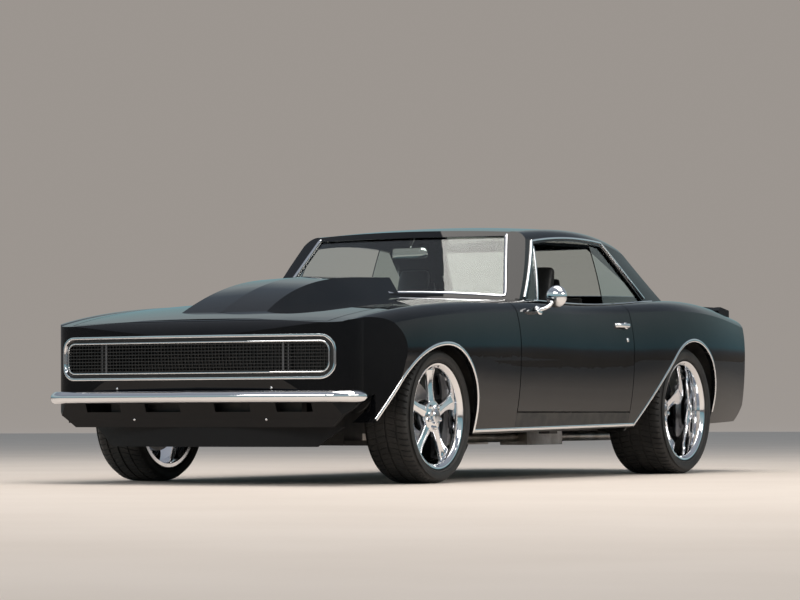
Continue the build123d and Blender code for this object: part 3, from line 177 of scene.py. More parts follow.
SOFT_PANELS = (
    # name, place, aim, width, height, watts, colour
    ("overhead", (1.5, -1.0, 9.0), (0, 0, 0.5), 6.0, 11.0, 900, (1.0, 0.95, 0.89)),
    ("left_side", (15.0, -4.0, 8.0), (0, 0, 0.6), 11.0, 2.5, 600, (1.0, 0.93, 0.85)),
    ("front", (-3.0, -16.0, 8.0), (0, -1.5, 0.6), 8.0, 2.5, 480, (1.0, 0.95, 0.90)),
)
for name, place, aim, width, height, watts, colour in SOFT_PANELS:
    light = bpy.data.lights.new(name, "AREA")
    light.shape = "RECTANGLE"
    light.size = width
    light.size_y = height
    light.energy = watts
    light.color = colour
    lamp = bpy.data.objects.new(name, light)
    bpy.context.scene.collection.objects.link(lamp)
    lamp.location = place
    lamp.rotation_euler = (Vector(aim) - Vector(place)).to_track_quat("-Z", "Y").to_euler()
bpy.context.scene.view_settings.view_transform = "Standard"

# Painted steel shell.
# Pressed steel panels in black enamel under clear lacquer, polished and lightly dusty
# in patches. They hang with even gaps; the front valance is in a duller satin black.


def vary_roughness(material, scale, low, high, near=0.3, far=0.7):
    """Roughness that drifts between two values over patches."""
    tree = material.node_tree
    noise = texture(material, "ShaderNodeTexNoise", scale, Detail=6.0)
    span = tree.nodes.new("ShaderNodeMapRange")
    for socket, value in (("From Min", near), ("From Max", far), ("To Min", low), ("To Max", high)):
        span.inputs[socket].default_value = value
    tree.links.new(noise.outputs["Fac"], span.inputs["Value"])
    tree.links.new(span.outputs["Result"], tree.nodes["Principled BSDF"].inputs["Roughness"])


def grain(material, kind, scale, strength, distance, output="Fac", **values):
    """Fine relief from a texture."""
    tree = material.node_tree
    source = texture(material, kind, scale, **values)
    bump = tree.nodes.new("ShaderNodeBump")
    bump.inputs["Strength"].default_value = strength
    bump.inputs["Distance"].default_value = distance
    tree.links.new(source.outputs[output], bump.inputs["Height"])
    tree.links.new(bump.outputs["Normal"], tree.nodes["Principled BSDF"].inputs["Normal"])


def dress(material, *names):
    """Gives CAD nodes their finish."""
    for name in names:
        slots = nodes[name].data.materials
        slots.clear()
        slots.append(material)


enamel = node_material(
    "enamel", (0.0035, 0.004, 0.005), roughness=0.4, Specular_IOR_Level=0.0, Coat_Weight=1.0,
    Coat_Roughness=0.015, Coat_IOR=1.38
)
vary_colour(enamel, 3.0, (0.003, 0.0035, 0.0045), (0.006, 0.0065, 0.0075))
grain(enamel, "ShaderNodeTexNoise", 420.0, 0.03, 0.0004, Detail=2.0)
dress(
    enamel, "fender_l", "fender_r", "nose_panel", "hood", "door_l", "door_r", "roof", "quarter_l",
    "quarter_r", "trunk_lid", "deck_panel", "tail_panel", "rear_valance", "cowl"
)
satin_enamel = node_material("satin_enamel", (0.004, 0.004, 0.005), roughness=0.35, Specular_IOR_Level=0.25)
vary_roughness(satin_enamel, 9.0, 0.30, 0.42)
dress(satin_enamel, "front_valance")

# Chin spoiler, dash and package shelf.
# Moulded in grained black plastic; the chin is bolted under the valance, and the dash
# and shelf are screwed to the cowl and to the deck.
chin_plastic = node_material("chin_plastic", (0.008, 0.008, 0.009), roughness=0.45, Specular_IOR_Level=0.2)
grain(chin_plastic, "ShaderNodeTexNoise", 900.0, 0.25, 0.0004, Detail=4.0)
vary_roughness(chin_plastic, 30.0, 0.38, 0.55)
dress(chin_plastic, "chin_spoiler", "dashboard", "package_shelf")

# Window glass.
# Curved panes with a faint green tint. The screen and backlight are sealed into their
# openings under the bright mouldings; the vent and quarter panes stand in channels.
pane = node_material("pane", (0.80, 0.88, 0.86), roughness=0.0, Transmission_Weight=1.0, IOR=1.5)
dress(pane, "windshield", "rear_window", "quarter_glass", "vent_glass_l", "vent_glass_r")

# Tail lamp lenses.
# Deep red acrylic, moulded with a smooth outer face and set into the tail panel.
lens = node_material("lens", (0.22, 0.008, 0.01), roughness=0.12, Coat_Weight=1.0)
dress(lens, "tail_lamps")

# Underbody and roll bar.
# Welded steel pressings and tubes in satin black chassis paint, dusty in places.
# The subframe and axle are bolted under the floor, the bar across the cabin.
chassis_black = node_material("chassis_black", (0.018, 0.018, 0.019), roughness=0.55)
vary_colour(chassis_black, 14.0, (0.012, 0.012, 0.013), (0.035, 0.033, 0.030))
dress(chassis_black, "floor_pan", "inner_fenders", "front_subframe", "rear_axle", "harness_bar")

# Engine block and steering knuckles.
# Bare grey castings, blotched where they have been warm or oily.
casting = node_material("casting", (0.16, 0.16, 0.165), metallic=0.7, roughness=0.6)
vary_colour(casting, 25.0, (0.10, 0.10, 0.105), (0.2, 0.2, 0.205))
dress(casting, "engine", "knuckle_l", "knuckle_r")

# Exhaust, fuel tank and driveshaft.
# Bent pipe and pressed sheet in unpainted steel, brown in patches from heat and road.
pipe_steel = node_material("pipe_steel", (0.42, 0.40, 0.38), metallic=1.0, roughness=0.35)
vary_colour(pipe_steel, 9.0, (0.30, 0.27, 0.24), (0.52, 0.50, 0.48))
dress(pipe_steel, "exhaust", "fuel_tank", "driveshaft")

# Tyres.
# Low radial tyres in black rubber, moulded with grooves and slanted blocks.
# Their beads sit on the rims between the lips.
AXLES = (
    # end, body, middle of the wheel, tyre width, grooves, rim radius, hub's back, spoke depth, disc radius
    ("f", "wheel_front", (0.750, -1.455, 0.314), 0.245, 3, 0.250, -0.050, 0.026, 0.165),
    ("r", "wheel_rear", (0.736, 1.288, 0.341), 0.325, 4, 0.270, -0.100, 0.128, 0.140),
)
WHEELS = [
    (end + hand, side, (side * at[0], at[1], at[2]), f"{body}_{word}", *sizes)
    for end, body, at, *sizes in AXLES for hand, side, word in (("l", 1, "left"), ("r", -1, "right"))
]
BEAD_IN = 0.0223
BEAD_DROP = 0.0137
SHOULDER = 0.026
SIDEWALL = (
    # in from the tyre's side, 0 at the rim to 1 at the tread, up from there
    (BEAD_IN, 0, 0.003), (0.010, 0, 0.0045), (0.004, 0, 0.009), (0.005, 0, 0.013), (0.0005, 0.5, -0.010),
    (0.0, 0.5, 0.0), (0.001, 0.5, 0.012), (0.006, 1, -0.030), (0.011, 1, -0.018), (0.015, 1, -0.011),
    (SHOULDER, 1, -0.0035), (SHOULDER + 0.010, 1, -0.0008),
)
TREAD_DEPTH = 0.006
TREAD_BAND = 0.0125
GROOVE_HALF = 0.0045
GROOVE_FLARE = 0.0012
RIB_EDGE = 0.014
CENTRE_RIB = 0.018
PITCHES = 66
BLOCK_STEPS = ((0.0, True), (0.07, False), (0.74, False), (0.81, True))  # share of a pitch, cut
BLOCK_SLANT = 0.10
INNER_BLOCK = 0.36
INNER_CUT = 0.7
rubber = node_material("rubber", (0.014, 0.014, 0.015), roughness=0.62)
vary_colour(rubber, 12.0, (0.010, 0.010, 0.010), (0.024, 0.023, 0.022))


def spin(profile, count, side, centre, skew=None):
    """Closed profile of (along axle, radius) turned about an axle through centre."""
    points = []
    for i, even_turn in enumerate(full_turn(count)):
        for along, radius in profile:
            turn, r = skew(i, along, radius) if skew else (even_turn, radius)
            y, z = centre[1] + r * math.cos(turn), centre[2] + r * math.sin(turn)
            points.append((centre[0] + side * along, y, z))
    faces = skin(count, len(profile), closed=True)
    return points, faces if side > 0 else [face[::-1] for face in faces]


def outward(piece, angle=35):
    """Turns all faces outward and keeps edges sharper than the angle."""
    mesh = piece.data
    work = bmesh.new()
    work.from_mesh(mesh)
    bmesh.ops.recalc_face_normals(work, faces=work.faces)
    work.to_mesh(mesh)
    work.free()
    mesh.shade_smooth()
    mesh.set_sharp_from_angle(angle=math.radians(angle))
    return piece


def fixed(piece, body="body", replaces=None):
    """Puts a finished piece on its body, in place of a CAD node where one is named."""
    if replaces:
        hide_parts(replaces)
    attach(piece, body)
    return piece


def fitted(name, shape, material, body="body", angle=35, replaces=None):
    """New piece from its shape, fixed on its body."""
    return fixed(outward(mesh_object(name, *shape, material), angle), body, replaces)


def tyre_profile(radius, width, rim_radius, grooves):
    """Section of the tyre from one bead over the tread to the other."""
    half = width / 2
    outer = [(half - BEAD_IN, rim_radius - BEAD_DROP)] + [
        (half - inward, rim_radius + (radius - rim_radius) * level + up) for inward, level, up in SIDEWALL
    ]
    span = half - SHOULDER - RIB_EDGE
    ribs = []
    for g in range(grooves):
        at = span * (1 - 2 * (g + 0.5) / grooves)
        ribs += [
            (at + GROOVE_HALF + GROOVE_FLARE, radius), (at + GROOVE_HALF, radius - TREAD_DEPTH),
            (at - GROOVE_HALF, radius - TREAD_DEPTH), (at - GROOVE_HALF - GROOVE_FLARE, radius),
        ]
        if g < grooves - 1:
            ribs.append((at - span / grooves, radius))
    return outer + ribs + [(-along, r) for along, r in reversed(outer)]


def cut_block(i, along, r, radius, width):
    """Angle and radius of a tread point, with slanted cross grooves between the blocks."""
    pitch, step = divmod(i, len(BLOCK_STEPS))
    share, cut = BLOCK_STEPS[step]
    turn = 2 * math.pi * (pitch + share) / PITCHES
    if r > radius - TREAD_BAND:
        turn += BLOCK_SLANT * abs(along) / (width / 2)
        if cut and r > radius - TREAD_DEPTH + 0.0005 and abs(along) > CENTRE_RIB:
            r -= TREAD_DEPTH * (INNER_CUT if abs(along) < width * INNER_BLOCK else 1.0)
    return turn, r


for end, side, centre, body, width, grooves, rim_radius, *_ in WHEELS:
    radius = centre[2]
    shape = spin(
        tyre_profile(radius, width, rim_radius, grooves), PITCHES * len(BLOCK_STEPS), side, centre,
        lambda i, along, r: cut_block(i, along, r, radius, width)
    )
    fitted(f"tread_{end}", shape, rubber, body, 28, f"tyre_{end}")

# Wheels.
# Cast aluminium in one piece with a deep barrel, five spokes and a domed cap, polished
# and plated, held on by five nuts. A ventilated brake disc stands behind the spokes.
plating = node_material("plating", (0.82, 0.83, 0.85), metallic=1.0, roughness=0.06)
vary_roughness(plating, 18.0, 0.03, 0.09)
disc_iron = node_material("disc_iron", (0.30, 0.30, 0.31), metallic=1.0, roughness=0.34)
grain(disc_iron, "ShaderNodeTexNoise", 240.0, 0.12, 0.0003, Detail=3.0)
LIP_IN = 0.012
BARREL_WALL = 0.026
BARREL_RING = (
    # end of the barrel, in from there, below the rim's radius
    (-1, 0.0, 0.003), (-1, 0.003, 0.0), (-1, 0.010, 0.0005), (-1, 0.010, 0.014), (1, 0.010, 0.014),
    (1, 0.010, 0.0005), (1, 0.003, 0.0), (1, 0.0, 0.003), (1, 0.0005, 0.009), (1, 0.004, 0.014),
    (1, 0.010, 0.0175), (1, 0.013, BARREL_WALL - 0.003), (1, 0.020, BARREL_WALL), (-1, 0.010, BARREL_WALL),
    (-1, 0.0, BARREL_WALL - 0.006),
)
SPOKES = 5
SPOKE_STATIONS = (
    # share of the way out, half width, face set back, thickness
    (0.15, 0.034, 0.000, 0.034), (0.30, 0.031, -0.002, 0.032), (0.45, 0.0255, 0.003, 0.029),
    (0.62, 0.0225, 0.008, 0.026), (0.80, 0.0265, 0.009, 0.026), (0.92, 0.037, 0.005, 0.030),
    (1.01, 0.052, 0.000, 0.034),
)
SPOKE_RING = (
    # share of half width, share of thickness below the face
    (-1.0, 1.0), (-1.0, 0.42), (-0.86, 0.22), (-0.30, 0.16), (0.0, 0.0), (0.30, 0.16), (0.86, 0.22),
    (1.0, 0.42), (1.0, 1.0), (0.0, 1.12),
)
HUB_RING = (
    # 0 from the hub's back or 1 from the spokes' face, out from there, radius
    (0, 0.0, 0.050), (0, 0.0, 0.078), (1, -0.020, 0.078), (1, -0.004, 0.074), (1, 0.0, 0.066),
    (1, -0.001, 0.044), (1, 0.002, 0.036), (1, 0.016, 0.033), (1, 0.021, 0.026), (1, 0.022, 0.0),
    (0, 0.034, 0.0), (0, 0.034, 0.050),
)
NUT_CIRCLE = 0.054
NUT_RING = ((-0.006, 0.0), (-0.006, 0.0105), (0.009, 0.0105), (0.013, 0.007), (0.014, 0.0))
DISC_OUT = 0.002
VENT_DEPTH = 0.012
DISC_FRONT = ((0.026, 0.092), (0.034, 0.088), (0.034, 0.079))
DISC_BORE = 0.079


def joined(shapes):
    """One list of points and one of faces from several shapes."""
    points, faces = [], []
    for more_points, more_faces in shapes:
        faces += [tuple(v + len(points) for v in face) for face in more_faces]
        points += list(more_points)
    return points, faces


for end, side, centre, body, width, grooves, rim_radius, hub_back, spoke_depth, disc_r in WHEELS:
    half = width / 2 - LIP_IN
    face = half - spoke_depth
    profile = [(toward * (half - inward), rim_radius - drop) for toward, inward, drop in BARREL_RING]
    fitted(f"rim_{end}", spin(profile, 96, side, centre), plating, body, angle=40, replaces=f"wheel_{end}")

    spokes = []
    for i in range(SPOKES):
        turn = math.radians(90 + 360 / SPOKES * i)
        points = []
        for share, half_width, back, thick in SPOKE_STATIONS:
            reach = share * (rim_radius - BARREL_WALL)
            for across, deep in SPOKE_RING:
                t = across * half_width
                points.append((
                    centre[0] + side * (face - back - thick * deep),
                    centre[1] + reach * math.cos(turn) - t * math.sin(turn),
                    centre[2] + reach * math.sin(turn) + t * math.cos(turn),
                ))
        spokes.append((points, skin(len(SPOKE_STATIONS), len(SPOKE_RING))))
    star = fitted(f"spokes_{end}", joined(spokes), plating, body, angle=180)
    smooth = star.modifiers.new("round", "SUBSURF")
    smooth.levels = smooth.render_levels = 2

    profile = [((hub_back, face)[start] + out, r) for start, out, r in HUB_RING]
    fitted(f"hub_{end}", spin(profile, 60, side, centre), plating, body, angle=30)

    nuts = []
    for i in range(SPOKES):
        turn = math.radians(90 + 360 / SPOKES * (i + 0.5))
        at = (centre[0], centre[1] + NUT_CIRCLE * math.cos(turn), centre[2] + NUT_CIRCLE * math.sin(turn))
        nuts.append(spin([(face + out, r) for out, r in NUT_RING], 6, side, at))
    fitted(f"nuts_{end}", joined(nuts), plating, body, angle=20)

    vent_r = disc_r - VENT_DEPTH
    profile = [
        (0.0, DISC_BORE), (0.0, disc_r), (0.010, disc_r), (0.0105, vent_r), (0.0155, vent_r), (0.016, disc_r),
        (0.026, disc_r), *DISC_FRONT,
    ]
    profile = [(hub_back + DISC_OUT + out, r) for out, r in profile]
    fitted(f"disc_{end}", spin(profile, 72, side, centre), disc_iron, body, 30)

# Wheel-arch and rocker trim.
# Thin bright mouldings, rolled from stainless strip and clipped over the opening edges
# and along the foot of the body.
STRIP_RING = ((-0.5, -0.25), (-0.5, 0.45), (-0.36, 0.85), (0.0, 1.0), (0.36, 0.85), (0.5, 0.45), (0.5, -0.25))
DOORS = ("door_left", "door_right")
CLEAR_OF_SIDE = 1.3
shell_trees = {}


def search_tree(mesh):
    """Search tree of a mesh's surface."""
    corners = [v.co.copy() for v in mesh.vertices]
    return BVHTree.FromPolygons(corners, [tuple(p.vertices) for p in mesh.polygons])


def first_hit(names, origin, direction):
    """Nearest surface point of the named nodes along a ray, with its normal."""
    best = None
    for name in names:
        if name not in shell_trees:
            shell_trees[name] = search_tree(nodes[name].data)
        point, normal, index, distance = shell_trees[name].ray_cast(Vector(origin), Vector(direction))
        if point is not None and (best is None or distance < best[2]):
            best = (point, normal, distance)
    return best and best[:2]


def hits_along(names, origins, direction):
    """Surface points and normals met from a row of places."""
    return [hit for hit in (first_hit(names, origin, direction) for origin in origins) if hit]


def on_left(names, path):
    """Points of the left side under a path drawn with y and z from the drawing's zero line."""
    return hits_along(names, [(CLEAR_OF_SIDE, y - MIDDLE_Y, z) for y, z in path], (-1, 0, 0))


def strip_mesh(found, width, height, closed=False, shift=0.0, ring=STRIP_RING):
    """Rounded strip along surface points; shift moves it sideways over the surface."""
    count = len(found)

    def at(i):
        return found[i % count if closed else min(max(i, 0), count - 1)]

    points = []
    for i in range(count):
        normal = sum((at(i + j)[1] for j in range(-2, 3)), Vector((0, 0, 0))).normalized()
        tangent = (at(i + 1)[0] - at(i - 1)[0]).normalized()
        normal = (normal - tangent * normal.dot(tangent)).normalized()
        across = tangent.cross(normal)
        middle = found[i][0] + across * shift
        points += [middle + across * (a * width) + normal * (h * height) for a, h in ring]
    return points, skin(count, len(ring), closed)


def both_sides(name, shape, material, bodies=("body", "body"), angle=35, replaces=None):
    """A left piece and its mirrored right one."""
    for end, sign, body in (("l", 1, bodies[0]), ("r", -1, bodies[1])):
        turned = [(sign * p[0], p[1], p[2]) for p in shape[0]]
        stands_for = f"{replaces}_{end}" if replaces else None
        fitted(f"{name}_{end}", (turned, shape[1]), material, body, angle, stands_for)


def arc(centre, radius, start, end, steps):
    """Points of an arc drawn with y and z; angles in degrees from +y towards +z."""
    angles = [math.radians(start + (end - start) * i / steps) for i in range(steps + 1)]
    return [(centre[0] + radius * math.cos(a), centre[1] + radius * math.sin(a)) for a in angles]


def line(a, b, steps):
    """Evenly spaced points between two points."""
    return [tuple(a[k] + (b[k] - a[k]) * i / steps for k in range(len(a))) for i in range(steps + 1)]


def lip_down(centre, radius, lean, foot, steps):
    """Straight run on from an arc, the lean in degrees past its top, down to a height."""
    lean = math.radians(lean)
    top = (centre[0] - radius * math.sin(lean), centre[1] + radius * math.cos(lean))
    return line(top, (top[0] - (top[1] - foot) / math.tan(lean), foot), steps)


TRIM_SET_OUT = 0.007
ARCH_TRIM = (0.017, 0.004)
ROCKER_TRIM = (0.016, 0.004)
ROCKER_INSET = 0.004
ROCKER_Z = (0.244, 0.268)
FRONT_ARCH, FRONT_ARCH_R, FRONT_LEAN = (-1.413, 0.314), 0.332, 50
FRONT_FEET = (0.236, 0.272)
LEAD_ARCH_R = 0.552
REAR_ARCH, REAR_ARCH_R, REAR_LEAN = (1.385, 0.372), 0.342, 41
REAR_FEET = (0.335, 0.262)
SIDE_NODES = ("fender_l", "door_l", "quarter_l", "floor_pan", "cowl", "front_valance")
front_r = FRONT_ARCH_R + TRIM_SET_OUT
lead_r = LEAD_ARCH_R + TRIM_SET_OUT
lead_arch = (FRONT_ARCH[0], FRONT_ARCH[1] + FRONT_ARCH_R - LEAD_ARCH_R)
front_back = FRONT_ARCH[0] + front_r
front_path = line((front_back, FRONT_FEET[0]), (front_back, FRONT_ARCH[1]), 6)[:-1]
front_path += arc(FRONT_ARCH, front_r, 0, 90, 40)[:-1]
front_path += arc(lead_arch, lead_r, 90, 90 + FRONT_LEAN, 34)[:-1]
front_path += lip_down(lead_arch, lead_r, FRONT_LEAN, FRONT_FEET[1], 14)
rear_r = REAR_ARCH_R + TRIM_SET_OUT
rear_back = REAR_ARCH[0] + rear_r
rear_path = line((rear_back, REAR_FEET[0]), (rear_back, REAR_ARCH[1]), 3)[:-1]
rear_path += arc(REAR_ARCH, rear_r, 0, 90 + REAR_LEAN, 60)[:-1]
rear_path += lip_down(REAR_ARCH, rear_r, REAR_LEAN, REAR_FEET[1], 24)
both_sides("arch_trim_front", strip_mesh(on_left(SIDE_NODES, front_path), *ARCH_TRIM), plating)
both_sides("arch_trim_rear", strip_mesh(on_left(SIDE_NODES, rear_path), *ARCH_TRIM), plating)
rocker_ends = (front_back + ROCKER_INSET, rear_path[-1][0] - ROCKER_INSET)
rocker_path = line((rocker_ends[0], ROCKER_Z[0]), (rocker_ends[1], ROCKER_Z[1]), 40)
both_sides("rocker_trim", strip_mesh(on_left(SIDE_NODES, rocker_path), *ROCKER_TRIM), plating)

# Window trim.
# Bright reveal mouldings snapped round the glass, a folded drip rail over the doors and
# a thin moulding along the sill of the side windows.
SURROUNDS = (
    # name, pane, outward direction, width, height, set out, body
    ("screen_trim", "windshield", (0, -0.76, 0.65), 0.018, 0.011, 0.008, "body"),
    ("backlight_trim", "rear_window", (0, 0.54, 0.84), 0.018, 0.010, 0.008, "body"),
    ("vent_trim_l", "vent_glass_l", (0.95, 0, 0.3), 0.014, 0.006, 0.002, "door_left"),
    ("vent_trim_r", "vent_glass_r", (-0.95, 0, 0.3), 0.014, 0.006, 0.002, "door_right"),
)
OUTER_FACE = 0.45
EDGE_STEP = 0.012


def pane_edge(name, facing):
    """Ordered outline of a pane's outer face."""
    mesh = nodes[name].data
    known = {}
    spot = [known.setdefault(tuple(round(c, 5) for c in v.co), len(known)) for v in mesh.vertices]
    places = [None] * len(known)
    for v in mesh.vertices:
        places[spot[v.index]] = v.co.copy()
    edges = {}
    for p in mesh.polygons:
        if p.normal.dot(facing) < OUTER_FACE:
            continue
        ids = [spot[i] for i in p.vertices]
        for a, b in zip(ids, ids[1:] + ids[:1]):
            if (b, a) in edges:
                del edges[(b, a)]
            else:
                edges[(a, b)] = True
    onward = {a: b for a, b in edges}
    loops = []
    while onward:
        start, at = next(iter(onward.items()))
        loop = [start]
        del onward[start]
        while at != start and at in onward:
            loop.append(at)
            at = onward.pop(at)
        loops.append(loop)
    longest = max(loops, key=lambda ids: sum((places[a] - places[b]).length for a, b in zip(ids, ids[1:])))
    return [places[i] for i in longest]


def even(points, step):
    """The same closed outline with evenly spaced points."""
    run = points + points[:1]
    lengths = [0.0]
    for a, b in zip(run, run[1:]):
        lengths.append(lengths[-1] + (b - a).length)
    count = max(8, round(lengths[-1] / step))
    found = []
    k = 0
    for i in range(count):
        at = lengths[-1] * i / count
        while k < len(lengths) - 2 and lengths[k + 1] < at:
            k += 1
        share = (at - lengths[k]) / max(lengths[k + 1] - lengths[k], 1e-9)
        found.append(run[k].lerp(run[k + 1], min(max(share, 0), 1)))
    return found


for name, node, outside, width, height, shift, body in SURROUNDS:
    facing = Vector(outside).normalized()
    loop = [(point, facing) for point in even(pane_edge(node, facing), EDGE_STEP)]
    fitted(name, strip_mesh(loop, width, height, closed=True, shift=shift), plating, body, angle=40)

RAIL_FRONT = ((-0.282, 0.905), (-0.045, 1.200))
RAIL_REAR = ((0.797, 1.226), (1.192, 0.945))
RAIL_BOW = 0.020
RAIL_SIZE = (0.013, 0.009)
over_doors = line(RAIL_FRONT[1], RAIL_REAR[0], 60)[:-1]
rail_path = line(*RAIL_FRONT, 24)[:-1]
rail_path += [(y, z + 4 * RAIL_BOW * i / 60 * (1 - i / 60)) for i, (y, z) in enumerate(over_doors)]
rail_path += line(*RAIL_REAR, 30)
both_sides("drip_rail", strip_mesh(on_left(("roof", "quarter_l", "cowl"), rail_path), *RAIL_SIZE), plating)

SILL_X = 0.772
OVER_SILL = 1.05
SILL_SIZE = (0.010, 0.005)
SILL_RUNS = (
    # name, node under it, front and rear end, bodies
    ("sill_trim_door", "door_l", -0.26, 0.648, DOORS),
    ("sill_trim_quarter", "quarter_l", 0.668, 1.15, ("body", "body")),
)
for name, node, front, rear, bodies in SILL_RUNS:
    above = line((SILL_X, front - MIDDLE_Y, OVER_SILL), (SILL_X, rear - MIDDLE_Y, OVER_SILL), 40)
    both_sides(name, strip_mesh(hits_along((node,), above, (0, 0, -1)), *SILL_SIZE), plating, bodies)

# Grille.
# Two thin bright rings with a black channel between them frame a black mesh of level
# fins and fine uprights. A post stands at the edge of each closed headlamp door.
NOSE_FACE = -2.252
NOSE_BOW_R = 5.689
CORNER_FROM = 0.690
CORNER_CENTRE = (0.67865, 0.17897)
CORNER_R = 0.13744
FACE_LEAN = ((0.42, 0.64, 0.705), (0.030, -0.005, 0.012))  # heights, set back there
RING_HALF = 0.744
RING_LOW = 0.480
RING_HIGH = 0.688
RING_ROUND = 0.074
DEEP_RING = ((-0.5, -4.0), *STRIP_RING[1:-1], (0.5, -4.0))
CHANNEL_RING = ((-0.5, -1.0), (-0.5, 0.0), (0.5, 0.0), (0.5, -1.0))
grille_black = node_material("grille_black", (0.016, 0.015, 0.015), roughness=0.30)
vary_roughness(grille_black, 22.0, 0.28, 0.42)


def nose_at(x, z):
    """Forward face of the nose at a place across and a height."""
    x = min(abs(x), CORNER_CENTRE[0] + CORNER_R * 0.98)
    if x < CORNER_FROM:
        plan = NOSE_BOW_R - math.sqrt(NOSE_BOW_R ** 2 - x ** 2)
    else:
        plan = CORNER_CENTRE[1] - math.sqrt(CORNER_R ** 2 - (x - CORNER_CENTRE[0]) ** 2)
    return NOSE_FACE + max(plan, float(np.interp(z, *FACE_LEAN)))


def nose_point(x, z, deep, step=0.004):
    """Point of the nose and its outward direction, set back by a depth."""
    across = (nose_at(x + step, z) - nose_at(x - step, z)) / (2 * step)
    normal = Vector((across, -1, 0)).normalized()
    return Vector((x, nose_at(x, z), z)) - normal * deep, normal


def round_outline(shrink, step=0.010):
    """Rounded outline of the grille's opening, brought in all round."""
    r = RING_ROUND - shrink
    half, low, high = RING_HALF - shrink, RING_LOW + shrink, RING_HIGH - shrink
    out, top, foot = half - r, high - r, low + r
    corners = ((out, top, 0), (-out, top, 90), (-out, foot, 180), (out, foot, 270))
    found = []
    for x, z, turn in corners:
        found += [Vector((x, 0, z)) for x, z in arc((x, z), r, turn, turn + 90, 8)]
    return even(found, step)


def nose_ring(name, shrink, deep, size, ring, material, replaces=None):
    """Frame member that follows the nose round the grille."""
    found = [nose_point(p.x, p.z, deep) for p in round_outline(shrink)]
    fitted(name, strip_mesh(found, *size, closed=True, ring=ring), material, replaces=replaces)


nose_ring("grille_ring_outer", 0.0075, 0.001, (0.014, 0.007), DEEP_RING, plating, replaces="grille_frame")
nose_ring("grille_channel", 0.0230, 0.012, (0.024, 0.018), CHANNEL_RING, grille_black)
nose_ring("grille_ring_inner", 0.0340, 0.006, (0.008, 0.006), DEEP_RING, plating)

MESH_SHRINK = 0.036
MESH_LOW, MESH_HIGH = RING_LOW + MESH_SHRINK, RING_HIGH - MESH_SHRINK
MESH_HALF = RING_HALF - MESH_SHRINK
FINS = 9
FIN_HALF = 0.0022
FIN_DEPTHS = (0.007, 0.026)
UPRIGHT_PITCH = 0.0185
UPRIGHT_HALF = 0.0014
UPRIGHT_CLEAR = 0.004
UPRIGHT_DEPTHS = (0.012, 0.024)
# Painted shade: a black sheet behind the mesh stands in for the dark shade inside the nose.
SHADE_SHEET_DEPTHS = (0.036, 0.040)
SHADE_SHEET_SPARE = (0.004, 0.010)


def mesh_half(z):
    """Half width of the mesh at a height, inside the rounded ring."""
    r = RING_ROUND - MESH_SHRINK
    inside = min(z - MESH_LOW, MESH_HIGH - z)
    return MESH_HALF - (r - math.sqrt(max(r * r - max(r - inside, 0) ** 2, 0)))


def bar(rows):
    """Closed bar through four-sided sections."""
    return [corner for row in rows for corner in row], skin(len(rows), 4)


def level_bar(z, z_half, depths, half, stations=64):
    """Bar across the nose between two depths."""
    rows = []
    for i in range(stations + 1):
        near, far = (nose_point(half * (2 * i / stations - 1), z, depth)[0] for depth in depths)
        corners = ((near, z - z_half), (near, z + z_half), (far, z + z_half), (far, z - z_half))
        rows.append([(at.x, at.y, height) for at, height in corners])
    return bar(rows)


def upright(x, half, depths, stations=6, step=0.002):
    """Post of the mesh at a place across, shortened under the ring's rounded corners."""
    low, high = MESH_LOW, MESH_HIGH
    while mesh_half(low + 0.001) < abs(x) and low < high:
        low += step
        high -= step
    rows = []
    for i in range(stations + 1):
        z = low + (high - low) * i / stations
        near, far = (nose_point(x, z, depth)[0] for depth in depths)
        corners = ((near, -half), (near, half), (far, half), (far, -half))
        rows.append([(at.x + across, at.y, z) for at, across in corners])
    return bar(rows)


bars = []
for i in range(FINS):
    z = MESH_LOW + (MESH_HIGH - MESH_LOW) * (i + 0.5) / FINS
    bars.append(level_bar(z, FIN_HALF, FIN_DEPTHS, mesh_half(z)))
count = int(RING_HALF / UPRIGHT_PITCH)
for i in range(-count, count + 1):
    if abs(i * UPRIGHT_PITCH) < MESH_HALF - UPRIGHT_CLEAR:
        bars.append(upright(i * UPRIGHT_PITCH, UPRIGHT_HALF, UPRIGHT_DEPTHS))
# Painted shade: the black sheet across the back of the mesh closes the opening in place of the dark shade
# inside the nose.
bars.append(level_bar(
    (MESH_LOW + MESH_HIGH) / 2, (MESH_HIGH - MESH_LOW) / 2 + SHADE_SHEET_SPARE[1], SHADE_SHEET_DEPTHS,
    MESH_HALF + SHADE_SHEET_SPARE[0]
))
fitted("grille_mesh", joined(bars), grille_black, angle=20, replaces="grille")

DOOR_EDGE = 0.482
POSTS = (
    # out from the door's edge, half width, depths
    (0.0, 0.0045, (0.006, 0.030)), (0.026, 0.0025, (0.008, 0.030)),
)
post_grey = node_material("post_grey", (0.10, 0.10, 0.105), metallic=0.4, roughness=0.38)
vary_roughness(post_grey, 30.0, 0.32, 0.45)
posts = [upright(side * (DOOR_EDGE + out), half, depths) for side in (-1, 1) for out, half, depths in POSTS]
fitted("headlamp_door_posts", joined(posts), post_grey, angle=20)

# Bumpers.
# Slim pressed-steel blades, chromed, with a crease along the upper face and ends that
# wrap back and taper. Round-headed bolts hold them and the valance.
BLADES = (
    # name, replaced node, middle height, height, toward, y at middle, shoulder and end
    ("bumper_blade_front", "front_bumper", 0.404, 0.056, 1, -2.296, -2.244, -2.080),
    ("bumper_blade_rear", "rear_bumper", 0.542, 0.070, -1, 2.296, 2.274, 2.100),
)
BLADE_SHOULDER = 0.7055
BLADE_END = 0.850
BLADE_DEPTH = 0.034
CORNER_BACK = 0.046
BLADE_RING = (
    # out, share of half height
    (-0.034, -0.62), (-0.030, -0.90), (-0.018, -1.0), (-0.007, -0.80), (-0.001, -0.30), (0.0, 0.10),
    (-0.003, 0.42), (-0.006, 0.56), (-0.016, 0.90), (-0.024, 1.0), (-0.032, 0.90), (-0.034, 0.62),
)
TAPER = 0.075
TIP_SHARE = 0.16
PEAK_RISE = 0.05
PEAK_HALF = 0.05


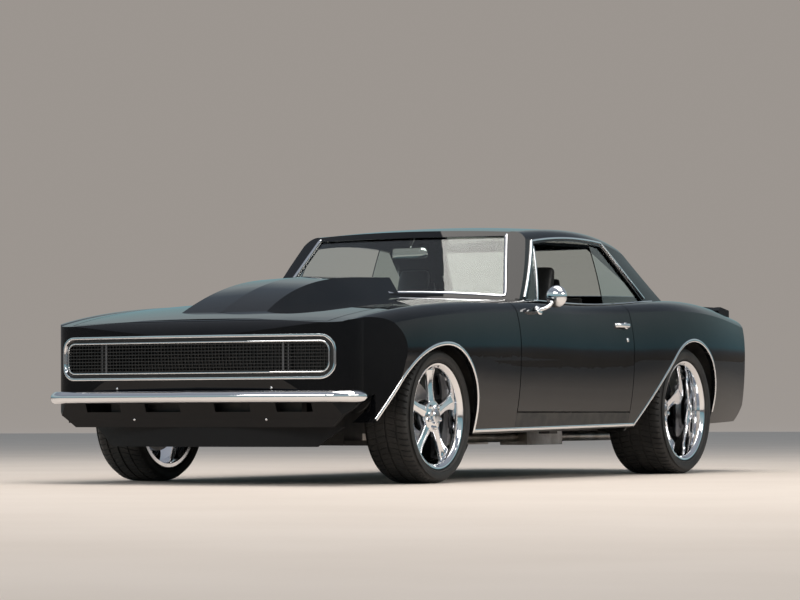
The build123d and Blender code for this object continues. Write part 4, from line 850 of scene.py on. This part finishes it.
def circle_arc(a, b, c, steps):
    """Points of the arc through three plan points."""
    a2, b2, c2 = (p[0] * p[0] + p[1] * p[1] for p in (a, b, c))
    d = 2 * (a[0] * (b[1] - c[1]) + b[0] * (c[1] - a[1]) + c[0] * (a[1] - b[1]))
    x = (a2 * (b[1] - c[1]) + b2 * (c[1] - a[1]) + c2 * (a[1] - b[1])) / d
    y = (a2 * (c[0] - b[0]) + b2 * (a[0] - c[0]) + c2 * (b[0] - a[0])) / d
    r = math.hypot(a[0] - x, a[1] - y)
    turns = np.unwrap([math.atan2(p[1] - y, p[0] - x) for p in (a, b, c)]).tolist()
    run = [turns[0] + (turns[2] - turns[0]) * i / steps for i in range(steps + 1)]
    return [(x + r * math.cos(turn), y + r * math.sin(turn)) for turn in run]


for name, node, z, height, toward, y_middle, y_shoulder, y_end in BLADES:
    corner = (BLADE_END - BLADE_DEPTH, y_shoulder + toward * CORNER_BACK)
    left = circle_arc((BLADE_SHOULDER, y_shoulder), corner, (BLADE_END, y_end), 30)
    bow = circle_arc((-BLADE_SHOULDER, y_shoulder), (0, y_middle), (BLADE_SHOULDER, y_shoulder), 70)
    plan = [(-x, y) for x, y in reversed(left)][:-1] + bow + left[1:]
    lengths = [0.0]
    for a, b in zip(plan, plan[1:]):
        lengths.append(lengths[-1] + math.dist(a, b))
    points = []
    for i, (x, y) in enumerate(plan):
        a, b = plan[max(i - 1, 0)], plan[min(i + 1, len(plan) - 1)]
        along = Vector((b[0] - a[0], b[1] - a[1])).normalized()
        out = Vector((along.y, -along.x)) * toward
        near_end = min(lengths[i], lengths[-1] - lengths[i])
        share = math.sqrt(max(1 - (1 - min(near_end / TAPER, 1)) ** 2, 0.0))
        share = TIP_SHARE + (1 - TIP_SHARE) * share
        peak = 1 + PEAK_RISE * max(1 - abs(x) / PEAK_HALF, 0)
        for set_out, up in BLADE_RING:
            deep = -BLADE_DEPTH / 2 + (set_out + BLADE_DEPTH / 2) * share
            rise = up * height / 2 * share * (peak if up > 0 else 1)
            points.append((x + out.x * deep, y + out.y * deep, z + rise))
    fitted(name, (points, skin(len(plan), len(BLADE_RING))), plating, angle=50, replaces=node)


def lathe(profile, count, centre, axis):
    """Profile of (along, radius) turned about an axis; ends on the axis close it."""
    axis = Vector(axis).normalized()
    side = axis.orthogonal().normalized()
    third = axis.cross(side)
    points, faces, rings = [], [], []
    for along, radius in profile:
        middle = Vector(centre) + axis * along
        if radius < 1e-6:
            rings.append([len(points)] * count)
            points.append(middle)
            continue
        rings.append(list(range(len(points), len(points) + count)))
        for turn in full_turn(count):
            points.append(middle + (side * math.cos(turn) + third * math.sin(turn)) * radius)
    for low_ring, high_ring in zip(rings, rings[1:]):
        for i in range(count):
            j = (i + 1) % count
            face = tuple(dict.fromkeys((low_ring[i], low_ring[j], high_ring[j], high_ring[i])))
            if len(face) > 2:
                faces.append(face)
    return points, faces


def dome(radius, height, sunk=0.002):
    """Profile of a round bolt head with its foot sunk in the sheet."""
    angles = [math.radians(15 * i) for i in range(6)]
    rise = [(height * math.sin(a), radius * math.cos(a)) for a in angles]
    return [(-sunk, 0.0), (-sunk, radius), *rise, (height, 0.0)]


BOLT_SPOTS = ((0.600, 0.366), (-0.600, 0.366), (0.420, 0.444), (-0.420, 0.444), (0.36, 0.300), (-0.36, 0.300))
BOLT_HEAD = (0.0065, 0.004)
ahead_of_bolts = [(x, -3, z) for x, z in BOLT_SPOTS]
bolt_feet = hits_along(("front_valance", "nose_panel", "fender_l", "fender_r"), ahead_of_bolts, (0, 1, 0))
fitted("front_bolts", joined(lathe(dome(*BOLT_HEAD), 14, *foot) for foot in bolt_feet), plating, angle=40)

# Door mirrors.
# A chromed bullet head on a curved arm and a round foot screwed to each door.
MIRROR_CENTRE = (0.930, -0.351, 0.905)
MIRROR_HEAD = (
    (0.0, 0.0), (0.001, 0.049), (-0.001, 0.0505), (-0.001, 0.0545), (0.004, 0.0558), (0.012, 0.0548),
    (0.022, 0.0505), (0.031, 0.042), (0.038, 0.029), (0.041, 0.014), (0.042, 0.0),
)
MIRROR_ARM = (
    (0.868, -0.432, 0.836), (0.884, -0.428, 0.840), (0.902, -0.414, 0.848), (0.915, -0.396, 0.862),
    (0.922, -0.382, 0.880),
)
ARM_R = 0.0085
ARM_SUNK = 0.002
MIRROR_FOOT = (0.026, 0.012)


def tube_along(path, radii, count=14):
    """Round tube through points, with a radius for each."""
    points = []
    for i, p in enumerate(path):
        along = (Vector(path[min(i + 1, len(path) - 1)]) - Vector(path[max(i - 1, 0)])).normalized()
        side = along.cross(Vector((0, 0, 1) if abs(along.z) < 0.9 else (0, 1, 0))).normalized()
        third = along.cross(side)
        for turn in full_turn(count):
            points.append(Vector(p) + (side * math.cos(turn) + third * math.sin(turn)) * radii[i])
    return points, skin(len(path), count)


def rounded_path(path, steps=6):
    """Smooth run through the same points."""
    run = [Vector(p) for p in path]
    found = []
    for i in range(len(run) - 1):
        p0, p1, p2, p3 = run[max(i - 1, 0)], run[i], run[i + 1], run[min(i + 2, len(run) - 1)]
        for t in (k / steps for k in range(steps)):
            bend = (2 * p0 - 5 * p1 + 4 * p2 - p3) * t * t + (3 * p1 - p0 - 3 * p2 + p3) * t ** 3
            found.append(0.5 * (2 * p1 + (p2 - p0) * t + bend))
    return found + [run[-1]]


arm = rounded_path(MIRROR_ARM)
foot, foot_normal = first_hit(("door_l",), (1.2, *MIRROR_ARM[0][1:]), (-1, 0, 0))
arm[0] = foot - foot_normal * ARM_SUNK
mirror = joined([
    lathe(MIRROR_HEAD, 48, MIRROR_CENTRE, (0, -1, 0)), tube_along(arm, [ARM_R] * len(arm)),
    lathe(dome(*MIRROR_FOOT), 36, foot, foot_normal),
])
both_sides("mirror_body", mirror, plating, DOORS, angle=40, replaces="mirror")

# Door handles and locks.
# Cast and chromed pull handles on two feet with a push button, and a round lock below.
HANDLE_Y = (0.430, 0.560)
HANDLE_Z = 0.782
HANDLE_STATIONS = (
    # share along, stand-off, half height, half thickness
    (0.0, 0.004, 0.006, 0.004), (0.05, 0.012, 0.010, 0.006), (0.18, 0.022, 0.011, 0.006),
    (0.50, 0.027, 0.010, 0.006), (0.74, 0.024, 0.011, 0.007), (0.88, 0.018, 0.014, 0.010),
    (0.97, 0.012, 0.013, 0.009), (1.0, 0.005, 0.007, 0.005),
)
HANDLE_RING = 12
ROUND_PARTS = (
    # y, z, radius and height of the rear foot with its button, the front foot and the lock
    (HANDLE_Y[1] - 0.012, HANDLE_Z, 0.019, 0.008), (HANDLE_Y[0] + 0.008, HANDLE_Z, 0.013, 0.006),
    (0.545, 0.708, 0.0115, 0.006),
)
points = []
for share, stand, half_z, half_x in HANDLE_STATIONS:
    y = HANDLE_Y[0] + (HANDLE_Y[1] - HANDLE_Y[0]) * share
    x = first_hit(("door_l",), (CLEAR_OF_SIDE, y, HANDLE_Z), (-1, 0, 0))[0].x + stand
    for turn in full_turn(HANDLE_RING):
        points.append((x + half_x * math.cos(turn), y, HANDLE_Z + half_z * math.sin(turn)))
handle_parts = [(points, skin(len(HANDLE_STATIONS), HANDLE_RING))]
for y, z, radius, height in ROUND_PARTS:
    seat = first_hit(("door_l",), (CLEAR_OF_SIDE, y, z), (-1, 0, 0))
    handle_parts.append(lathe(dome(radius, height), 28, *seat))
both_sides("door_handle", joined(handle_parts), plating, DOORS)

# Seats.
# High-backed bucket seats and a rear bench in black grained vinyl over foam. The pads
# are sewn in channels with rolled bolsters, and piping runs along the bolsters' seams.
vinyl = node_material("vinyl", (0.016, 0.016, 0.017), roughness=0.42, Sheen_Weight=0.15)
vary_roughness(vinyl, 16.0, 0.36, 0.52)
grain(vinyl, "ShaderNodeTexVoronoi", 420.0, 0.3, 0.0006, output="Distance")
shell_black = node_material("shell_black", (0.012, 0.012, 0.013), roughness=0.5)
grain(shell_black, "ShaderNodeTexNoise", 700.0, 0.2, 0.0004, Detail=3.0)
piping_cord = node_material("piping_cord", (0.030, 0.030, 0.032), roughness=0.36)
grain(piping_cord, "ShaderNodeTexNoise", 900.0, 0.2, 0.0003, Detail=2.0)
SEAT_X = 0.375
PAD_VOXEL = 0.010
PAD_RING = 28
PAD_ENDS = ((-1, 0.62), (-0.45, 0.90), (0, 1.0))  # out past the last section, size there
PAD_SQUARE, ROLL_SQUARE, SHELL_SQUARE = 3.4, 2.3, 6
FOAM_PRESSURE = 4.0
SWELL_FRAMES = 20
SEAT_SWELL = 0.006
SEAM_DEPTH, SEAM_WIDTH, SEAM_FADE = 0.007, 0.008, 0.012
SEAM_FACE = 0.35
SEAM_PITCH = 0.062
UP = (0, 0, 1)
BACK_FACING = (0, -0.95, 0.3)


def pad_form(x, stations, square=PAD_SQUARE):
    """Closed rounded form along a spine of (y, z, half width, half thickness)."""
    run = [Vector((y, z)) for y, z, half_w, half_t in stations]
    rows = []
    for i, (y, z, half_w, half_t) in enumerate(stations):
        along = (run[min(i + 1, len(run) - 1)] - run[max(i - 1, 0)]).normalized()
        last = i == len(run) - 1
        ends = PAD_ENDS if i == 0 else PAD_ENDS[::-1] if last else PAD_ENDS[-1:]
        for share, size in ends:
            at = run[i] + along * ((-share if last else share) * half_t * 0.5)
            rows.append((at, along, half_w * size ** 0.3, half_t * size))
    points = []
    for at, along, half_w, half_t in rows:
        out = Vector((-along.y, along.x))
        for turn in full_turn(PAD_RING):
            c, s = math.cos(turn), math.sin(turn)
            across = half_w * math.copysign(abs(c) ** (2 / square), c)
            up = half_t * math.copysign(abs(s) ** (2 / square), s)
            points.append((x + across, at.x + out.x * up, at.y + out.y * up))
    return points, skin(len(rows), PAD_RING)


def take_up(piece, keep=False):
    """The piece's mesh with its modifiers taken up; it becomes the piece's own unless kept apart."""
    graph = bpy.context.evaluated_depsgraph_get()
    mesh = bpy.data.meshes.new_from_object(piece.evaluated_get(graph))
    piece.modifiers.clear()
    if not keep:
        piece.data = mesh
    return mesh


def stuffed(name, forms, cap):
    """Pad from overlapping forms: remeshed evenly, swollen as cloth, capped and smoothed."""
    piece = outward(mesh_object(name, *joined(forms), vinyl), 180)
    remesh = piece.modifiers.new("even", "REMESH")
    remesh.mode = "VOXEL"
    remesh.voxel_size = PAD_VOXEL
    remesh.use_smooth_shade = True
    mesh = take_up(piece)
    scene = bpy.context.scene
    start_shape = [v.co.copy() for v in mesh.vertices]
    cloth = piece.modifiers.new("fill", "CLOTH")
    cloth.settings.use_pressure = True
    cloth.settings.uniform_pressure_force = FOAM_PRESSURE
    cloth.settings.effector_weights.gravity = 0.0
    cloth.settings.quality = 4
    cloth.point_cache.frame_start = 1
    cloth.point_cache.frame_end = SWELL_FRAMES
    for step in range(1, SWELL_FRAMES + 1):
        scene.frame_set(step)
    swollen = take_up(piece, keep=True)
    scene.frame_set(1)
    for v, before, after in zip(mesh.vertices, start_shape, swollen.vertices):
        move = after.co - before
        if move.length > cap:
            move *= cap / move.length
        v.co = before + move
    smooth = piece.modifiers.new("fine", "SUBSURF")
    smooth.levels = smooth.render_levels = 1
    mesh = take_up(piece)
    mesh.shade_smooth()
    if not mesh.materials:
        mesh.materials.append(vinyl)
    return piece


def sewn(piece, axis, facing, seams, zone):
    """Presses sewn channels into the side of a pad that faces a direction."""
    mesh = piece.data
    facing = Vector(facing).normalized()
    moves = []
    for v in mesh.vertices:
        if v.normal.dot(facing) < SEAM_FACE or not zone[0] < abs(v.co.x) < zone[1]:
            continue
        near = min(abs(v.co[axis] - s) for s in seams)
        edge = min(abs(v.co.x) - zone[0], zone[1] - abs(v.co.x)) / SEAM_FADE
        moves.append((v.index, v.normal * (SEAM_DEPTH * math.exp(-(near / SEAM_WIDTH) ** 2) * min(edge, 1))))
    for index, move in moves:
        mesh.vertices[index].co -= move


def seam_run(start, count):
    """Evenly spaced seams."""
    return [start + SEAM_PITCH * i for i in range(count)]


def pad_pair(piece, name):
    """The right-hand copy of a left-hand pad."""
    mesh = piece.data.copy()
    for v in mesh.vertices:
        v.co.x = -v.co.x
    mesh.flip_normals()
    other = bpy.data.objects.new(name, mesh)
    bpy.context.scene.collection.objects.link(other)
    return other


def upholstered(pad, replaces=None):
    """Fixes a soft pad in the cabin."""
    fixed(pad, replaces=replaces)


# Each table of pads and shells below is a spine of (y, z, half width, half thickness).
CUSHION = (
    (-0.118, 0.366, 0.150, 0.048), (-0.060, 0.376, 0.152, 0.054), (0.100, 0.366, 0.152, 0.054),
    (0.300, 0.352, 0.150, 0.050),
)
CUSHION_ROLL = (
    (-0.112, 0.366, 0.030, 0.052), (-0.040, 0.378, 0.031, 0.060), (0.120, 0.370, 0.031, 0.060),
    (0.310, 0.356, 0.030, 0.054),
)
BACK = (
    (0.392, 0.462, 0.150, 0.042), (0.415, 0.560, 0.153, 0.045), (0.449, 0.690, 0.156, 0.044),
    (0.479, 0.800, 0.148, 0.040), (0.507, 0.890, 0.120, 0.036), (0.528, 0.970, 0.096, 0.034),
    (0.548, 1.040, 0.092, 0.034), (0.562, 1.088, 0.086, 0.028),
)
BACK_ROLL = (
    (0.386, 0.470, 0.031, 0.050), (0.404, 0.560, 0.033, 0.056), (0.438, 0.690, 0.033, 0.054),
    (0.468, 0.800, 0.032, 0.048), (0.490, 0.862, 0.028, 0.040),
)
ROLL_OUT = 0.188
CHANNEL_ZONE = (SEAT_X - 0.136, SEAT_X + 0.136)
pads = []
for name, spine, roll in (("seat_cushion", CUSHION, CUSHION_ROLL), ("seat_back", BACK, BACK_ROLL)):
    rolls = [pad_form(SEAT_X + s * ROLL_OUT, roll, ROLL_SQUARE) for s in (-1, 1)]
    pads.append(stuffed(f"{name}_l", [pad_form(SEAT_X, spine)] + rolls, SEAT_SWELL))
cushion, backrest = pads
sewn(cushion, 1, UP, seam_run(-0.085, 6), CHANNEL_ZONE)
sewn(backrest, 2, BACK_FACING, seam_run(0.50, 6) + [0.905], CHANNEL_ZONE)
pads += [pad_pair(cushion, "seat_cushion_r"), pad_pair(backrest, "seat_back_r")]
for pad in pads:
    upholstered(pad, replaces="front_seats")

PIPE_RING = [(0.5 * math.cos(turn), 0.5 + 0.5 * math.sin(turn)) for turn in full_turn(9)]
PIPE_SIZE = 0.006
PIPE_SUNK = 0.0015
PIPE_OUT = 0.158
cushion_tree, back_tree = search_tree(cushion.data), search_tree(backrest.data)
pipe_parts = []
for x in (SEAT_X - PIPE_OUT, SEAT_X + PIPE_OUT):
    above = line((x, -0.120, 0.8), (x, 0.280, 0.8), 44)
    before = line((x, -0.5, 0.470), (x, -0.5, 0.830), 40)
    for tree, origins, direction in ((cushion_tree, above, (0, 0, -1)), (back_tree, before, (0, 1, 0))):
        hits = [tree.ray_cast(Vector(origin), Vector(direction)) for origin in origins]
        found = [(h[0] - h[1] * PIPE_SUNK, h[1]) for h in hits if h[0] is not None]
        if len(found) > 3:
            pipe_parts.append(strip_mesh(found, PIPE_SIZE, PIPE_SIZE, ring=PIPE_RING))
both_sides("seat_piping", joined(pipe_parts), piping_cord, angle=60)

SEAT_SHELL = (
    (0.452, 0.430, 0.205, 0.012), (0.478, 0.560, 0.212, 0.013), (0.508, 0.690, 0.212, 0.013),
    (0.536, 0.800, 0.200, 0.012), (0.558, 0.890, 0.140, 0.011), (0.590, 1.030, 0.100, 0.010),
)
SEAT_PAN = (
    (-0.100, 0.305, 0.200, 0.014), (0.100, 0.302, 0.210, 0.014), (0.340, 0.300, 0.205, 0.014),
    (0.440, 0.330, 0.200, 0.013), (0.455, 0.430, 0.200, 0.012),
)
SEAT_RAIL = ((-0.060, 0.266, 0.016, 0.014), (0.360, 0.266, 0.016, 0.014))
SEAT_FEET = [((y, 0.270, 0.010, 0.016), (y + 0.002, 0.300, 0.010, 0.016)) for y in (0.0, 0.300)]
RAIL_OUT = 0.150
shell_parts = [pad_form(SEAT_X, spine, SHELL_SQUARE) for spine in (SEAT_SHELL, SEAT_PAN)]
rails = (SEAT_X - RAIL_OUT, SEAT_X + RAIL_OUT)
shell_parts += [pad_form(x, SEAT_RAIL, SHELL_SQUARE) for x in rails]
shell_parts += [pad_form(x, seat_foot, SHELL_SQUARE) for x in rails for seat_foot in SEAT_FEET]
both_sides("seat_shell", joined(shell_parts), shell_black, angle=50)

BENCH = (
    (0.790, 0.468, 0.250, 0.040), (0.850, 0.488, 0.256, 0.044), (0.960, 0.500, 0.256, 0.044),
    (1.075, 0.508, 0.250, 0.040),
)
BENCH_BACK = (
    (1.118, 0.560, 0.250, 0.040), (1.140, 0.660, 0.256, 0.044), (1.168, 0.780, 0.256, 0.042),
    (1.190, 0.872, 0.248, 0.032),
)
BENCH_BOX = ((0.800, 0.345, 0.165, 0.090), (1.000, 0.345, 0.165, 0.090))
BENCH_X = 0.258
BENCH_ZONE = (0.03, 0.47)
for name, spine, axis, facing, first_seam in (
    ("rear_cushion", BENCH, 1, UP, 0.82), ("rear_back", BENCH_BACK, 2, BACK_FACING, 0.60),
):
    pad = stuffed(name, [pad_form(s * BENCH_X, spine) for s in (-1, 1)], SEAT_SWELL)
    sewn(pad, axis, facing, seam_run(first_seam, 5), BENCH_ZONE)
    upholstered(pad, replaces="rear_seat")
both_sides("rear_seat_base", pad_form(0.350, BENCH_BOX, 7), shell_black, angle=50)

# Harness bar sleeves.
# Foam in vinyl round the steel tube across the cabin behind the buckets, with a bright
# clamp ring at each sleeve's end.
BAR_Y, BAR_Z = 0.703, 0.915
SLEEVE_X = 0.300
SLEEVE_SWELL = 0.004
SLEEVE_RING = (
    (-0.160, 0.0), (-0.160, 0.034), (-0.152, 0.040), (0.0, 0.040), (0.152, 0.040), (0.160, 0.034),
    (0.160, 0.0),
)
CLAMP_OUT = 0.170
CLAMP_RING = ((-0.006, 0.024), (-0.006, 0.036), (0.006, 0.036), (0.006, 0.024))
clamps = []
for hand, s in (("r", -1), ("l", 1)):
    sleeve = lathe(SLEEVE_RING, 28, (s * SLEEVE_X, BAR_Y, BAR_Z), (1, 0, 0))
    upholstered(stuffed(f"bar_sleeve_{hand}", [sleeve], SLEEVE_SWELL))
    for end in (-1, 1):
        clamps.append(lathe(CLAMP_RING, 32, (s * SLEEVE_X + end * CLAMP_OUT, BAR_Y, BAR_Z), (1, 0, 0)))
fitted("bar_rings", joined(clamps), plating, angle=30)

# Steering wheel.
# A dished wheel with a leather-wrapped rim moulded with finger grips, three drilled
# aluminium spokes and a round hub.
COLUMN_TILT = math.radians(22)
WHEEL_AXIS = Vector((0, math.cos(COLUMN_TILT), math.sin(COLUMN_TILT)))
WHEEL_FOOT = Vector((0.375, -0.212, 0.742))
WHEEL_R = 0.178
WHEEL_DISH = 0.040
RIM_STEPS, RIM_RING = 216, 12
RIM_HALF = 0.0125
GRIPS, GRIP_DEPTH = 36, 0.0012
leather = node_material("leather", (0.014, 0.013, 0.013), roughness=0.5)
grain(leather, "ShaderNodeTexVoronoi", 700.0, 0.3, 0.0005, output="Distance")
brushed = node_material("brushed", (0.62, 0.62, 0.63), metallic=1.0, roughness=0.25)
vary_roughness(brushed, 60.0, 0.18, 0.32)
level = Vector((1, 0, 0))
downward = WHEEL_AXIS.cross(level)
points = []
for turn in full_turn(RIM_STEPS):
    out = level * math.cos(turn) + downward * math.sin(turn)
    for round_turn in full_turn(RIM_RING):
        r = RIM_HALF + GRIP_DEPTH * math.cos(GRIPS * turn) * max(-math.sin(round_turn), 0)
        rise, reach = WHEEL_DISH + r * math.sin(round_turn), WHEEL_R + r * math.cos(round_turn)
        points.append(WHEEL_FOOT + WHEEL_AXIS * rise + out * reach)
rim = (points, skin(RIM_STEPS, RIM_RING, closed=True))
fitted("steering_rim", rim, leather, "steering_body", 60, "steering_wheel")

SPOKE_TURNS = (90, 205, -25)
SPOKE_BAR = (
    # reach, half width, rise
    (0.020, 0.017, 0.022), (0.060, 0.014, 0.026), (0.110, 0.012, 0.034), (0.150, 0.013, 0.039),
    (0.172, 0.020, 0.041),
)
SPOKE_CORNERS = ((-1, -0.0018), (1, -0.0018), (1, 0.0018), (-1, 0.0018))
EYELETS = (0.075, 0.100, 0.125)
EYELET_RING = ((0.0, 0.0055), (0.0, 0.0075), (0.0035, 0.0075), (0.0035, 0.0055))
EYELET_RISE, EYELET_SLOPE = 0.0285, 0.22
HUB_CAP = (
    (0.001, 0.0), (0.001, 0.036), (0.016, 0.036), (0.018, 0.034), (0.024, 0.034), (0.030, 0.028),
    (0.033, 0.018), (0.034, 0.0),
)
spoke_parts = []
for turn in map(math.radians, SPOKE_TURNS):
    out = level * math.cos(turn) + downward * math.sin(turn)
    across = WHEEL_AXIS.cross(out)
    spoke_parts.append(bar([
        [WHEEL_FOOT + out * reach + across * (a * half) + WHEEL_AXIS * (rise + h) for a, h in SPOKE_CORNERS]
        for reach, half, rise in SPOKE_BAR
    ]))
    for reach in EYELETS:
        place = WHEEL_FOOT + out * reach + WHEEL_AXIS * (EYELET_RISE + (reach - EYELETS[0]) * EYELET_SLOPE)
        spoke_parts.append(lathe(EYELET_RING, 18, place, WHEEL_AXIS))
fitted("steering_spokes", joined(spoke_parts), brushed, "steering_body", 30)
hub_cap = lathe(HUB_CAP, 40, WHEEL_FOOT, WHEEL_AXIS)
fitted("steering_hub", hub_cap, shell_black, "steering_body", 30)

# Dash dials.
# Two round instruments and a small one in chromed bezels behind the wheel, with blank
# black faces.
DIAL_FACE = (0, 1, 0.12)
BEZEL_RING = ((-0.004, -0.006), (-0.004, 0.003), (0.008, 0.003), (0.011, 0.0), (0.009, -0.006))
DIAL_INSET = 0.005
NEEDLE_BOSS = ((0.005, 0.004), (0.008, 0.003), (0.008, 0.0))
DIALS = ((0.290, 0.800, 0.052), (0.440, 0.800, 0.052), (0.365, 0.815, 0.026))  # across, height, radius
bezels, dial_faces = [], []
for x, z, r in DIALS:
    hit = first_hit(("dashboard",), (x, 0.2, z), (0, -1, 0))
    if hit:
        bezel = [(along, r + wider) for along, wider in BEZEL_RING]
        dial = [(-0.006, 0.0), (-0.006, r - DIAL_INSET), (0.004, r - DIAL_INSET), *NEEDLE_BOSS]
        bezels.append(lathe(bezel, 40, hit[0], DIAL_FACE))
        dial_faces.append(lathe(dial, 40, hit[0], DIAL_FACE))
fitted("dial_bezels", joined(bezels), plating, angle=30)
fitted("dial_faces", joined(dial_faces), shell_black, angle=30)

# Wipers and inner mirror.
# Bright wiper arms on the cowl with black rubber blades parked along the screen's foot,
# and a mirror on a stem behind the glass.
PIVOTS_X = (0.350, -0.170)
PIVOT_Y = -0.490
WIPER_LONG = 0.40
WIPER_START = 0.03
WIPER_Z = (0.928, 0.944)
WIPER_STEPS = 24
RUBBER_SIZE = (0.007, 0.010)
RUBBER_OUT = 0.002
HOLDER_OUT, HOLDER_R = 0.013, 0.0028
ARM_RADII = (0.0055, 0.0033)
PIVOT_CAP = ((-0.010, 0.0), (-0.010, 0.014), (0.010, 0.013), (0.016, 0.009), (0.018, 0.0))
wiper_metal, wiper_rubber = [], []
for pivot_x in PIVOTS_X:
    pivot = first_hit(("cowl", "hood", "windshield"), (pivot_x, PIVOT_Y, 1.6), (0, 0, -1))
    start_x = pivot_x - WIPER_START
    ahead = line((start_x, -3, WIPER_Z[0]), (start_x - WIPER_LONG, -3, WIPER_Z[1]), WIPER_STEPS)
    blade = [(p + n * RUBBER_OUT, n) for p, n in hits_along(("windshield", "cowl"), ahead, (0, 1, 0))]
    if pivot is None or len(blade) < 10:
        continue
    wiper_rubber.append(strip_mesh(blade, *RUBBER_SIZE))
    holder = [p + n * HOLDER_OUT for p, n in blade[3:-3]]
    wiper_metal.append(tube_along(holder, [HOLDER_R] * len(holder), 8))
    foot, (middle, lift) = pivot[0], blade[len(blade) // 2]
    arm = rounded_path([
        foot + Vector((0, 0, 0.010)), foot + Vector((-0.05, 0.004, 0.022)),
        middle + lift * 0.026 + Vector((0.06, 0, 0.004)), middle + lift * 0.016,
    ], 5)
    wiper_metal.append(tube_along(arm, np.linspace(*ARM_RADII, len(arm)), 10))
    wiper_metal.append(lathe(PIVOT_CAP, 24, foot, (0, -0.3, 0.95)))
fitted("wiper_arms", joined(wiper_metal), plating, angle=40)
fitted("wiper_blades", joined(wiper_rubber), rubber, angle=40)

MIRROR_Y, MIRROR_Z = -0.172, 1.150
MIRROR_HALVES = ((-0.024, 0.100), (0.0, 0.103), (0.024, 0.100))  # up from the middle, half width
MIRROR_SPINE = [(MIRROR_Y, MIRROR_Z + up, half, 0.010) for up, half in MIRROR_HALVES]
STEM = ((0, MIRROR_Y - 0.004, MIRROR_Z), (0, MIRROR_Y + 0.004, 1.185), (0, -0.140, 1.222))
inner_mirror = joined([pad_form(0.0, MIRROR_SPINE, 4), tube_along(STEM, (0.006, 0.005, 0.009), 10)])
fitted("inner_mirror", inner_mirror, plating, angle=50)

# Tail fittings.
# Chromed bezels and ribs over the red lenses, a blank plate, and rolled tips on the two
# exhaust pipes.
LAMP_X = (0.330, 0.640)
LAMP_Z = (0.585, 0.690)
LAMP_RIBS = 3
BEZEL_OUT = 0.004
BEZEL_SIZE = (0.010, 0.007)
RIB_SIZE = (0.004, 0.012)


def on_tail(x, z):
    """Point of the tail panel or a lamp, seen from behind."""
    hit = first_hit(("tail_panel", "tail_lamps"), (x, 3.0, z), (0, -1, 0))
    return Vector((x, hit[0].y, z)), Vector((0, 1, 0))


bezels = []
low_x, high_x = LAMP_X[0] - BEZEL_OUT, LAMP_X[1] + BEZEL_OUT
low_z, high_z = LAMP_Z[0] - BEZEL_OUT, LAMP_Z[1] + BEZEL_OUT
corners = [Vector((x, 0, z)) for x, z in ((low_x, low_z), (high_x, low_z), (high_x, high_z), (low_x, high_z))]
for s in (-1, 1):
    loop = [on_tail(s * p.x, p.z) for p in even(corners, EDGE_STEP)]
    bezels.append(strip_mesh(loop, *BEZEL_SIZE, closed=True))
    for i in range(LAMP_RIBS):
        x = LAMP_X[0] + (LAMP_X[1] - LAMP_X[0]) * (i + 1) / (LAMP_RIBS + 1)
        bezels.append(strip_mesh([on_tail(s * x, z) for z in np.linspace(*LAMP_Z, 9)], *RIB_SIZE))
fitted("lamp_bezels", joined(bezels), plating, angle=40)

plate_white = node_material("plate_white", (0.50, 0.50, 0.48), roughness=0.4)
vary_colour(plate_white, 30.0, (0.46, 0.46, 0.44), (0.54, 0.54, 0.52))
PLATE_HALF = (0.1524, 0.0762)
PLATE_Z = 0.640
PLATE_DEPTHS = (0.0008, 0.0022)
PLATE_CORNER = 0.12
PLATE_STEPS = 40
back = max(on_tail(x, PLATE_Z)[0].y for x in (-0.15, 0, 0.15))
points = []
for out in PLATE_DEPTHS:
    for turn in full_turn(PLATE_STEPS):
        c, s = math.cos(turn), math.sin(turn)
        x = PLATE_HALF[0] * math.copysign(abs(c) ** PLATE_CORNER, c)
        points.append((x, back + out, PLATE_Z + PLATE_HALF[1] * math.copysign(abs(s) ** PLATE_CORNER, s)))
fitted("plate_blank", (points, skin(2, PLATE_STEPS)), plate_white, angle=30)

TIP_PLACE = (0.225, 2.196, 0.204)
TIP_RING = (
    (-0.100, 0.0285), (-0.100, 0.0315), (-0.010, 0.034), (0.0, 0.036), (0.004, 0.0345), (0.0, 0.0315),
    (-0.060, 0.0285),
)
tips = [lathe(TIP_RING, 36, (s * TIP_PLACE[0], *TIP_PLACE[1:]), (0, 1, 0)) for s in (-1, 1)]
fitted("exhaust_tips", joined(tips), plating, angle=40)
